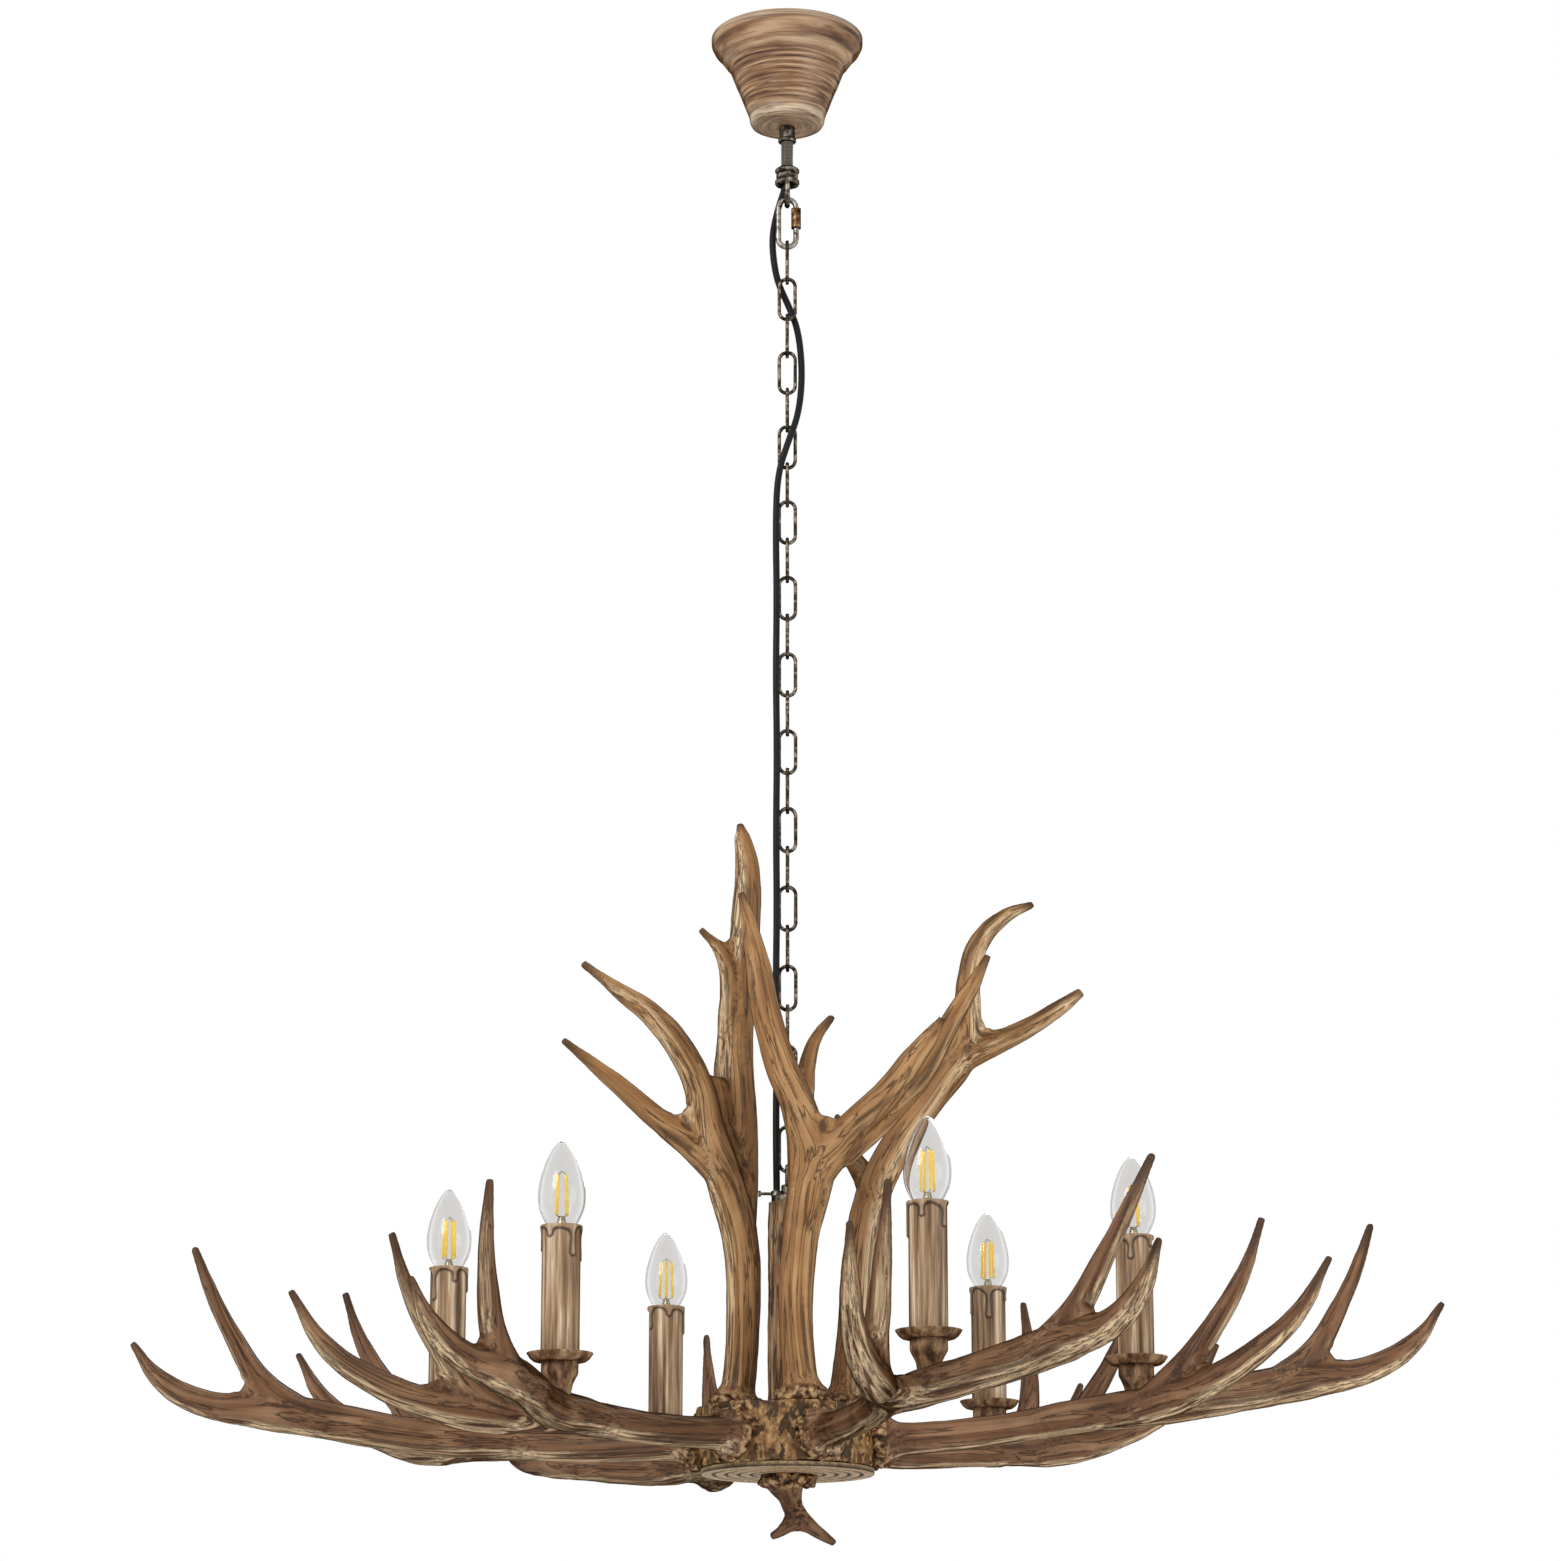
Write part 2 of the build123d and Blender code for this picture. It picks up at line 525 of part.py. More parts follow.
# ---------------------------------------------------------------- column and hub
def column_head():
    """Cap of the column with the eye that hangs in the last link, and the cable's gland beside it."""
    spigot_r = COLUMN_BORE_R - LOOSE_CLEAR
    bottom = COLUMN_TOP - SPIGOT_H
    head = prism(COLUMN_HEAD_R, TURNED_SIDES, CAP_TOP, COLUMN_HEAD_TOP)
    head += prism(COLUMN_CAP_R, TURNED_SIDES, COLUMN_TOP, CAP_TOP)
    head += prism(spigot_r, TURNED_SIDES, bottom, COLUMN_TOP)
    ring = [*half_turn(EYE_R, 0), *half_turn(EYE_R, 0, up=False)]
    start = (EYE_R, 0, 0)
    head += Pos(0, 0, EYE_Z) * Rot(0, 0, 90) * bent_wire([start, *ring, start], EYE_WIRE_R, (0, 1, 0))
    gland = Pos(GLAND_X, 0, 0)
    head += gland * prism(GLAND_R, WIRE_SIDES, CAP_TOP, GLAND_TOP)
    head -= gland * prism(CABLE_R + LOOSE_CLEAR, WIRE_SIDES, bottom, GLAND_TOP)
    head -= prism(PIPE_R + SCREW_CLEAR, TURNED_SIDES, bottom, CAP_TOP)
    for z in clamp_heights():
        head -= clamp_place(z) * prism(CLAMP_SCREW_R + SCREW_CLEAR, WIRE_SIDES, 0, CLAMP_SCREW_L + CABLE_R)
    return head


def clamp_heights():
    return (CAP_TOP + GLAND_H / 2,)


def clamp_place(z):
    """Axis of a clamp screw that comes in from the left and bears on the cable."""
    return Pos(GLAND_X - CABLE_R - LOOSE_CLEAR - CLAMP_SCREW_L, 0, z) * Rot(0, 90, 0)


def clamp_screws():
    screws = []
    for z in clamp_heights():
        place = clamp_place(z)
        shank = prism(CLAMP_SCREW_R, WIRE_SIDES, 0, CLAMP_SCREW_L)
        screws.append(place * (shank + prism(2 * CLAMP_SCREW_R, WIRE_SIDES, -2, 0)))
    return Compound(children=screws)


def column_tube():
    return pipe(COLUMN_R, COLUMN_BORE_R, -DRUM_TOP, COLUMN_TOP)


def centre_pipe():
    return pipe(PIPE_R, PIPE_BORE_R, DISC_BOTTOM - PIPE_END, CAP_TOP - 0.3)


def pipe_nuts():
    upper = hex_nut(NUT_FLATS, PIPE_R + SCREW_CLEAR, -DRUM_TOP - DRUM_PLATE - NUT_T, -DRUM_TOP - DRUM_PLATE)
    lower = hex_nut(NUT_FLATS, PIPE_R + SCREW_CLEAR, DRUM_BOTTOM, DRUM_BOTTOM + NUT_T)
    return Compound(children=[upper, lower])


def arm_bolt_hole(start, end):
    """Hole along +X at the height of the arms' burrs."""
    return Pos(0, 0, ARM_Z) * Rot(0, 90, 0) * prism(BOLT_R + SCREW_CLEAR, WIRE_SIDES, start, end)


def foot_bolt_hole(foot, bottom, top):
    """Upright hole under the foot of an upright antler."""
    return Pos(*foot, 0) * prism(BOLT_R + SCREW_CLEAR, WIRE_SIDES, bottom, top)


def upright_feet():
    return (LEFT_UPRIGHT_FOOT, FRONT_UPRIGHT_FOOT, BACK_UPRIGHT_FOOT)


def hub_drum():
    drum = prism(DRUM_R, WIDE_SIDES, DRUM_BOTTOM, -DRUM_TOP)
    drum -= prism(DRUM_R - DRUM_WALL, WIDE_SIDES, DRUM_BOTTOM, -DRUM_TOP - DRUM_PLATE)
    drum -= prism(PIPE_R + SCREW_CLEAR, TURNED_SIDES, DRUM_BOTTOM, -DRUM_TOP)
    for angle in arm_angles():
        seat = Pos(ARM_SEAT + DRUM_WALL / 2, 0, ARM_Z) * Box(DRUM_WALL, DRUM_R, 2 * DRUM_H)
        drum -= Rot(0, 0, angle) * seat
        drum -= Rot(0, 0, angle) * arm_bolt_hole(DRUM_R - 2 * DRUM_WALL, DRUM_R)
    for foot in upright_feet():
        drum -= foot_bolt_hole(foot, -DRUM_TOP - DRUM_PLATE, -DRUM_TOP)
    return drum


def hub_disc():
    disc = prism(DISC_R, WIDE_SIDES, DISC_BOTTOM, DRUM_BOTTOM)
    return disc - prism(PIPE_R + SCREW_CLEAR, TURNED_SIDES, DISC_BOTTOM, DRUM_BOTTOM)


def bolt(reach):
    """Hexagon bolt standing on its head: the head's seat is at height 0, the shank runs to reach."""
    return prism(BOLT_R, WIRE_SIDES, 0, reach) + prism(BOLT_HEAD_R, 6, -BOLT_HEAD_H, 0)


def antler_bolts():
    inside = (DRUM_R - DRUM_WALL) * math.cos(math.pi / WIDE_SIDES) - BOLT_HEAD_SINK
    arm_bolt = Pos(inside, 0, ARM_Z) * Rot(0, 90, 0) * bolt(ARM_SEAT - inside + BOLT_REACH)
    bolts = [Rot(0, 0, angle) * arm_bolt for angle in arm_angles()]
    for x, y in upright_feet():
        bolts.append(Pos(x, y, -DRUM_TOP - DRUM_PLATE) * bolt(DRUM_PLATE + BOLT_REACH))
    return Compound(children=bolts)


# ---------------------------------------------------------------- antlers
def antler_stroke(points):
    """A beam or tine: many-sided rings square to the line, joined by flat facets."""
    spots = [Vector(x, y, z) for x, y, z, _ in points]
    last = len(spots) - 1
    side = Vector(0, 1, 0)
    rings = []
    for k, spot in enumerate(spots):
        along = (spots[min(k + 1, last)] - spots[max(k - 1, 0)]).normalized()
        if k == 0:
            along = (spots[1] - spots[0]).normalized()
        if side.cross(along).length < 0.3:
            side = Vector(0, 0, 1)
        side = (side - along * side.dot(along)).normalized()
        rings.append(ring_points(Plane(origin=spot, x_dir=side, z_dir=along), points[k][3], ANTLER_SIDES))
    return skin(rings)


def antler(strokes, x, z):
    """All strokes of one antler joined into one casting, whose base is at (x, z)."""
    pieces = [antler_stroke(points) for points in strokes.values()]
    return Pos(x, 0, z) * pieces[0].fuse(*pieces[1:])


def lifted(point, lift):
    """Point of an arm's stroke after the arm is raised by lift at its candle."""
    x, y, z, radius = point
    return (x, y, z + lift * max(x - LIFT_START, 0) / (CANDLE_REACH - LIFT_START), radius)


def arm_antler(lift):
    strokes = {name: [lifted(point, lift) for point in points] for name, points in ARM_STROKES.items()}
    seat = ARM_Z + CANDLE_SEAT + lift
    body = antler(strokes, ARM_SEAT, ARM_Z)
    body -= Pos(CANDLE_RADIUS, 0, 0) * prism(CUP_FOOT_R + 3, TURNED_SIDES, seat, seat + 12)
    return body - arm_bolt_hole(ARM_SEAT - BOLT_HOLE_TIP, ARM_SEAT + BOLT_REACH + BOLT_HOLE_TIP)


def upright_antler(strokes, foot):
    hole = foot_bolt_hole(foot, -DRUM_TOP - BOLT_HOLE_TIP, -DRUM_TOP + BOLT_REACH + BOLT_HOLE_TIP)
    return antler(strokes, 0, -DRUM_TOP) - hole


def finial_antler():
    hole = prism(PIPE_R + SCREW_CLEAR, TURNED_SIDES, DISC_BOTTOM - PIPE_END - SCREW_CLEAR, DISC_BOTTOM)
    return antler(FINIAL, 0, DISC_BOTTOM) - hole


# ---------------------------------------------------------------- candles
def candle_cup():
    """Tapered cup that stands on the arm, with the threaded post that holds pan and lamp holder."""
    foot = ARM_Z + CANDLE_SEAT
    top = PAN_Z - PAN_WALL
    cup = [(CUP_FOOT_R, foot), (CUP_FOOT_R + 0.6, foot + 6), (CUP_TOP_R, top - 9), (CUP_TOP_R, top)]
    return turned(cup, CANDLE_SIDES) + prism(CUP_POST_R - SCREW_CLEAR, WIRE_SIDES, top, PAN_Z + CUP_POST_H)


def drip_pan():
    """Shallow dish with a turned-up lip."""
    under = PAN_Z - PAN_WALL
    lip = PAN_Z + PAN_DEPTH
    outside = [(PAN_FLAT_R, under), (PAN_R - 0.8, lip - PAN_WALL), (PAN_R, lip)]
    inside = [(PAN_FLAT_R, PAN_Z), (PAN_R - PAN_WALL, lip)]
    dish = turned(outside, CANDLE_SIDES) - turned(inside, CANDLE_SIDES)
    return dish - prism(CUP_POST_R, WIRE_SIDES, under, PAN_Z)


def candle_sleeve():
    """Candle tube with a wax collar and drips of uneven length round its top."""
    sleeve = prism(SLEEVE_R, CANDLE_SIDES, PAN_Z, SLEEVE_TOP - DRIP_COLLAR)
    sleeve += prism(SLEEVE_R + DRIP_DEPTH, CANDLE_SIDES, SLEEVE_TOP - DRIP_COLLAR, SLEEVE_TOP)
    width = 2 * SLEEVE_R * math.sin(math.radians(DRIP_ANGLE / 2))
    for k, length in enumerate(DRIP_LENGTHS):
        middle = SLEEVE_TOP - DRIP_COLLAR - length / 2
        drip = Pos(SLEEVE_R - DRIP_DEPTH / 2, 0, middle) * Box(2 * DRIP_DEPTH, width, length)
        sleeve += Rot(0, 0, 360 / len(DRIP_LENGTHS) * (k + 0.25)) * drip
    return sleeve - prism(SLEEVE_R - SLEEVE_WALL, CANDLE_SIDES, PAN_Z, SLEEVE_TOP)


def lamp_holder():
    """Holder inside the candle tube, screwed on the cup's post and open at the top for the bulb."""
    top = SLEEVE_TOP - HOLDER_SHORT
    floor = top - CAP_L - 3
    body = prism(HOLDER_R, WIRE_SIDES, PAN_Z, top)
    body -= prism(CAP_R + RUN_CLEAR, WIRE_SIDES, floor, top)
    return body - prism(CUP_POST_R, WIRE_SIDES, PAN_Z, PAN_Z + CUP_POST_H)


def bulb_glass():
    """Candle-shaped glass, widest a third of the way up and open at its foot."""
    outside = [(r, SLEEVE_TOP + z) for r, z in BULB_OUTSIDE]
    inside = [(r - BULB_WALL, z) for r, z in outside[0:-1:2]]
    inside.append((BULB_TIP_R, outside[-1][1] - 1.5 * BULB_WALL))
    return turned(outside, CANDLE_SIDES) - turned(inside, CANDLE_SIDES)


def bulb_core():
    """Screw cap with the glass stem and the upright filaments that it carries."""
    foot = SLEEVE_TOP - BULB_NECK_DROP
    flange = foot - CAP_FLANGE_H
    base = foot + STEM_H - 2
    core = prism(CAP_FLANGE_R, CANDLE_SIDES, flange, foot)
    core += prism(CAP_R, WIRE_SIDES, flange - CAP_L + CAP_FLANGE_H, flange)
    core += prism(STEM_R, CABLE_SIDES, foot, base)
    core += prism(FILAMENT_RING + FILAMENT_SIZE, CABLE_SIDES, base - 1, base)
    for k in range(FILAMENT_COUNT):
        stick = Pos(FILAMENT_RING, 0, base + FILAMENT_L / 2) * Box(FILAMENT_SIZE, FILAMENT_SIZE, FILAMENT_L)
        core += Rot(0, 0, 360 / FILAMENT_COUNT * (k + 0.5)) * stick
    return core


def at_candles(solid):
    """Copies of a candle piece at the six arms."""
    places = zip(arm_angles(), ARM_LIFTS)
    return [Rot(0, 0, angle) * Pos(CANDLE_RADIUS, 0, lift) * solid for angle, lift in places]


# ---------------------------------------------------------------- cable
def cable():
    """The whole supply cable: straight runs joined by bends as wide as the runs allow."""
    spots = [Vector(*p) for p in CABLE_ROUTE]
    runs = [b - a for a, b in zip(spots, spots[1:])]
    room = [run.length for run in runs]
    room[0] *= 2
    room[-1] *= 2
    radii = []
    for k in range(len(runs) - 1):
        turn = math.radians(runs[k].get_angle(runs[k + 1]))
        radii.append(BEND_SHARE * min(room[k], room[k + 1]) / math.tan(turn / 2))
    path = FilletPolyline(*spots, radius=radii)
    section = Plane(origin=path @ 0, z_dir=path % 0) * RegularPolygon(CABLE_R, CABLE_SIDES)
    solid = sweep(section, path=path)
    print("cable: length %.1f, tightest bend %.1f, volume over section times length %.4f" % (
        path.length, min(radii), solid.volume / (section.area * path.length)))
    print("cable bends:", [round(r) for r in radii])
    return solid


def slab(bottom, top):
    """Everything between two heights."""
    return Pos(0, 0, (bottom + top) / 2) * Box(4 * DRUM_R, 4 * DRUM_R, top - bottom)


def cable_pieces():
    """The cable, parted where it must bend: at the quick link's pivot and at the chain's."""
    whole = cable()
    ball = Pos(*KNEE, QUICK_BAR_Z) * Sphere(CABLE_R)
    head = whole & slab(LOOP_BAR_Z + CABLE_PART_TOP, 0)
    link = whole & slab(QUICK_BAR_Z + CABLE_R + CABLE_KNEE_GAP, LOOP_BAR_Z - CABLE_PART_FOOT)
    main = (whole & slab(GLAND_TOP, QUICK_BAR_Z)) + ball
    return head, link, main


# ---------------------------------------------------------------- all parts
def all_parts():
    head, link, main = cable_pieces()
    parts = {
        "ceiling_bracket": ceiling_bracket(),
        "bracket_nuts": bracket_nuts(),
        "threaded_nipple": threaded_nipple(),
        "terminal_block": terminal_block(),
        "top_yoke": top_yoke(),
        "cable_head": head,
        "canopy_bell": canopy_bell(),
        "lock_collar": lock_collar(),
        "quick_link": quick_link(),
        "quick_link_sleeve": quick_link_sleeve(),
        "cable_link": link,
        "chain_links_edge_on": chain_links(0),
        "chain_links_face_on": chain_links(1),
        "cable_main": main,
        "column_head": column_head(),
        "clamp_screws": clamp_screws(),
        "column_tube": column_tube(),
        "centre_pipe": centre_pipe(),
        "pipe_nuts": pipe_nuts(),
        "hub_drum": hub_drum(),
        "hub_disc": hub_disc(),
        "antler_bolts": antler_bolts(),
        "finial_antler": finial_antler(),
        "upright_antler_left": upright_antler(LEFT_UPRIGHT, LEFT_UPRIGHT_FOOT),
        "upright_antler_front": upright_antler(FRONT_UPRIGHT, FRONT_UPRIGHT_FOOT),
        "upright_antler_back": upright_antler(BACK_UPRIGHT, BACK_UPRIGHT_FOOT),
        "candle_cups": Compound(children=at_candles(candle_cup())),
        "lamp_holders": Compound(children=at_candles(lamp_holder())),
    }
    for k, (angle, lift) in enumerate(zip(arm_angles(), ARM_LIFTS), start=1):
        parts[f"arm_antler_{k}"] = Rot(0, 0, angle) * arm_antler(lift)
    each = {
        "drip_pan": drip_pan(),
        "candle_sleeve": candle_sleeve(),
        "bulb_glass": bulb_glass(),
        "bulb_core": bulb_core(),
    }
    for name, solid in each.items():
        for k, copy in enumerate(at_candles(solid), start=1):
            parts[f"{name}_{k}"] = copy
    return parts


print("pivots: loop bar %.2f, quick link bar %.2f, chain bar %.2f" % (LOOP_BAR_Z, QUICK_BAR_Z, CHAIN_BAR_Z))
print("heights: eye %.2f, cap top %.2f, column top %.2f, arms %.2f, sleeve top %.2f" % (
    EYE_Z, CAP_TOP, COLUMN_TOP, ARM_Z, SLEEVE_TOP))
for node, shape in all_parts().items():
    export_step(shape, f"parts/{node}.step")
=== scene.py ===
import math
import random

import bmesh
import bpy
import numpy as np
from mathutils import Matrix, Vector, noise


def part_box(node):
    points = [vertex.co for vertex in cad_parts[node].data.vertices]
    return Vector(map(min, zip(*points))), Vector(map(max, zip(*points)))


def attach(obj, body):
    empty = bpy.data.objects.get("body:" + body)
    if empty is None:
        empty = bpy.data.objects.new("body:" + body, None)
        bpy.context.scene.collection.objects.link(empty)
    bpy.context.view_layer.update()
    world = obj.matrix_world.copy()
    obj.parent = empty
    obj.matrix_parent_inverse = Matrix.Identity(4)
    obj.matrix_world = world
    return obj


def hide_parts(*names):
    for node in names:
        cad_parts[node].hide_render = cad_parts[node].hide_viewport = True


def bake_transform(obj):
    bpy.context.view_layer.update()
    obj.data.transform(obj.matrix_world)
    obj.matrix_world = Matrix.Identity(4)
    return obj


# Antler chandelier with six candle lights, dressed for the photograph.
# Metres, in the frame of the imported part: the ceiling is Z = 0 and the front looks to -Y.

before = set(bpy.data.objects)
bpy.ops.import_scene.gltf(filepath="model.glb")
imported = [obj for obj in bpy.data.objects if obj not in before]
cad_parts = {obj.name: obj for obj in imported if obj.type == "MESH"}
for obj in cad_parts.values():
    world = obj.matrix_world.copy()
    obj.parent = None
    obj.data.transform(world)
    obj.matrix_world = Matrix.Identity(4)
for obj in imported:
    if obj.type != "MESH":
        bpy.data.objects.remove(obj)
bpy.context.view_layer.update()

MM = 0.001
ARMS = range(1, 7)
ARM_TURNS = [math.radians(-8 + 60 * k) for k in range(6)]
ARM_LIFTS = (10.0, 6.0, -4.5, -3.5, -9.5, 2.0)      # rise of each arm at its candle, in millimetres

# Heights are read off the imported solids, so the dressing sits where they sit.
LOW, HIGH = 0, 1
HUB_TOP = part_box("hub_drum")[HIGH][2]
HUB_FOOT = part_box("hub_drum")[LOW][2]
DISC_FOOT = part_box("hub_disc")[LOW][2]
DRUM_R = 69 * MM
ARM_SEAT = DRUM_R - 2.5 * MM
ARM_HEIGHT = HUB_TOP - 25 * MM
CANDLE_REACH = 199.5 * MM
CANDLE_RADIUS = ARM_SEAT + CANDLE_REACH
LIFT_START = 10.5 * MM      # an arm rises from here outwards
PAN_HEIGHT = ARM_HEIGHT + 45 * MM
SLEEVE_TOP = PAN_HEIGHT + 97 * MM


# ---- meshes
def raw_mesh(bm, name):
    mesh = bpy.data.meshes.new(name)
    bm.to_mesh(mesh)
    bm.free()
    mesh.shade_smooth()
    return mesh


def mesh_of(bm, name, smooth=40):
    """Finish a bmesh: join doubles, point its faces outwards and shade it smooth below an angle."""
    bmesh.ops.remove_doubles(bm, verts=bm.verts, dist=1e-6)
    bmesh.ops.recalc_face_normals(bm, faces=bm.faces)
    mesh = raw_mesh(bm, name)
    mesh.set_sharp_from_angle(angle=math.radians(smooth))
    return mesh


def lathe(profile, steps, bm=None, centre=(0, 0, 0)):
    """Turn a profile of (radius, height) in metres once round an upright axis."""
    bm = bm or bmesh.new()
    x, y, z = centre
    line = [bm.verts.new((x + r, y, z + h)) for r, h in profile]
    edges = [bm.edges.new(pair) for pair in zip(line, line[1:])]
    bmesh.ops.spin(
        bm, geom=line + edges, cent=centre, axis=(0, 0, 1), dvec=(0, 0, 0),
        angle=2 * math.pi, steps=steps, use_merge=True, use_duplicate=False)
    return bm


def in_mm(profile, base):
    """Profile given in millimetres above a base height in metres."""
    return [(r * MM, base + z * MM) for r, z in profile]


def turned(name, profile, base, steps, smooth=40):
    """Mesh turned from a profile in millimetres."""
    return mesh_of(lathe(in_mm(profile, base), steps), name, smooth)


def between(start, end, steps):
    """Points from start to end, both included."""
    return [tuple(a + (b - a) * k / steps for a, b in zip(start, end)) for k in range(steps + 1)]


def ball(bm, spot, radius):
    bmesh.ops.create_icosphere(bm, subdivisions=2, radius=radius, matrix=Matrix.Translation(spot))


def placed(name, data):
    """New object in the scene."""
    piece = bpy.data.objects.new(name, data)
    bpy.context.scene.collection.objects.link(piece)
    return piece


def new_curve(radius, roundness, steps):
    """Empty curve, which is a tube if it has a radius."""
    data = bpy.data.curves.new("curve", "CURVE")
    data.dimensions = "3D"
    data.resolution_u = steps
    data.bevel_depth = radius
    data.bevel_resolution = roundness
    data.use_fill_caps = True
    return data


def curve_data(strokes, thick):
    """Smooth curve through the points of each stroke; thick curves take each point's radius."""
    data = new_curve(1.0 if thick else 0.0, 6, 9)
    for points in strokes:
        spline = data.splines.new("BEZIER")
        spline.radius_interpolation = "CARDINAL"
        spline.bezier_points.add(len(points) - 1)
        for knot, point in zip(spline.bezier_points, points):
            knot.handle_left_type = "AUTO"
            knot.handle_right_type = "AUTO"
            knot.radius = point[3]
            knot.co = point[:3]
    return data


def baked(data, *modifiers):
    """Mesh of an object made from data, with modifiers given as (kind, settings) applied."""
    piece = placed("baking", data)
    for kind, settings in modifiers:
        modifier = piece.modifiers.new(kind, kind)
        for key, value in settings.items():
            setattr(modifier, key, value)
    graph = bpy.context.evaluated_depsgraph_get()
    mesh = bpy.data.meshes.new_from_object(piece.evaluated_get(graph))
    bpy.data.objects.remove(piece)
    return mesh


def places(mesh, kind="co"):
    """Vertex places, or normals, as an array."""
    rows = np.empty(len(mesh.vertices) * 3)
    mesh.vertices.foreach_get(kind, rows)
    return rows.reshape(-1, 3)


def move_to(mesh, spots):
    mesh.vertices.foreach_set("co", np.asarray(spots, dtype=np.float32).ravel())
    mesh.update()


def paint(mesh, name, values):
    """Keep a value or a vector for each vertex, for the materials to read."""
    values = np.asarray(values, dtype=np.float32)
    if values.ndim == 2:
        layer = mesh.attributes.new(name, "FLOAT_VECTOR", "POINT")
        layer.data.foreach_set("vector", values.ravel())
    else:
        layer = mesh.attributes.new(name, "FLOAT", "POINT")
        layer.data.foreach_set("value", values)


def noise_at(spots, scale, octaves):
    """Fractal noise, about -1 to 1, at each place."""
    return np.array([noise.fractal(Vector(spot), 1.0, 2.0, octaves) for spot in spots * scale])


def roughen(mesh, amount, scale, stretch, octaves):
    """Push a mesh in and out along its normals by stretched noise."""
    spots = places(mesh)
    height = noise_at(spots * np.array(stretch), scale, octaves)
    move_to(mesh, spots + places(mesh, "normal") * (amount * height)[:, None])
    return height


def ease(low, high, values):
    """Smooth step from 0 at low to 1 at high."""
    t = np.clip((values - low) / (high - low), 0, 1)
    return t * t * (3 - 2 * t)


def dress(name, mesh, body, materials, node):
    """Put a finished mesh in the scene, on a body, in place of a solid."""
    piece = placed(name, mesh)
    for material in materials:
        mesh.materials.append(material)
    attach(piece, body)
    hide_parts(node)


def at_candle(mesh, arm, spin=0.0):
    """Copy of a candle mesh, made about the axis, at one of the six arms."""
    copy = mesh.copy()
    turn = Matrix.Rotation(ARM_TURNS[arm - 1], 4, "Z")
    reach = Matrix.Translation((CANDLE_RADIUS, 0, ARM_LIFTS[arm - 1] * MM))
    copy.transform(turn @ reach @ Matrix.Rotation(spin, 4, "Z"))
    return copy


# ---- materials
def colour(tone):
    """Linear colour of a screen colour, given 0-255; a linear one, of four values, stays."""
    if len(tone) == 4:
        return tone
    shares = [value / 255 for value in tone]
    return (*[s / 12.92 if s <= 0.04045 else ((s + 0.055) / 1.055) ** 2.4 for s in shares], 1.0)


class Nodes:
    """Shader tree of a material or world."""

    def __init__(self, owner):
        owner.use_nodes = True
        self.tree = owner.node_tree
        self.tree.nodes.clear()

    def feed(self, socket, value):
        """Link an input from a socket, or set its value."""
        if isinstance(value, bpy.types.NodeSocket):
            self.tree.links.new(value, socket)
        else:
            socket.default_value = colour(value) if socket.type == "RGBA" else value

    def add(self, kind, inputs=None, **settings):
        node = self.tree.nodes.new(kind)
        for key, value in settings.items():
            setattr(node, key, value)
        for key, value in (inputs or {}).items():
            self.feed(node.inputs[key], value)
        return node

    def maths(self, operation, first, second, clamp=True):
        return self.add(
            "ShaderNodeMath", {0: first, 1: second}, operation=operation, use_clamp=clamp).outputs[0]

    def both(self, *masks):
        """Product of masks and shares."""
        product = masks[0]
        for mask in masks[1:]:
            product = self.maths("MULTIPLY", product, mask)
        return product

    def highest(self, *masks):
        highest = masks[0]
        for mask in masks[1:]:
            highest = self.maths("MAXIMUM", highest, mask)
        return highest


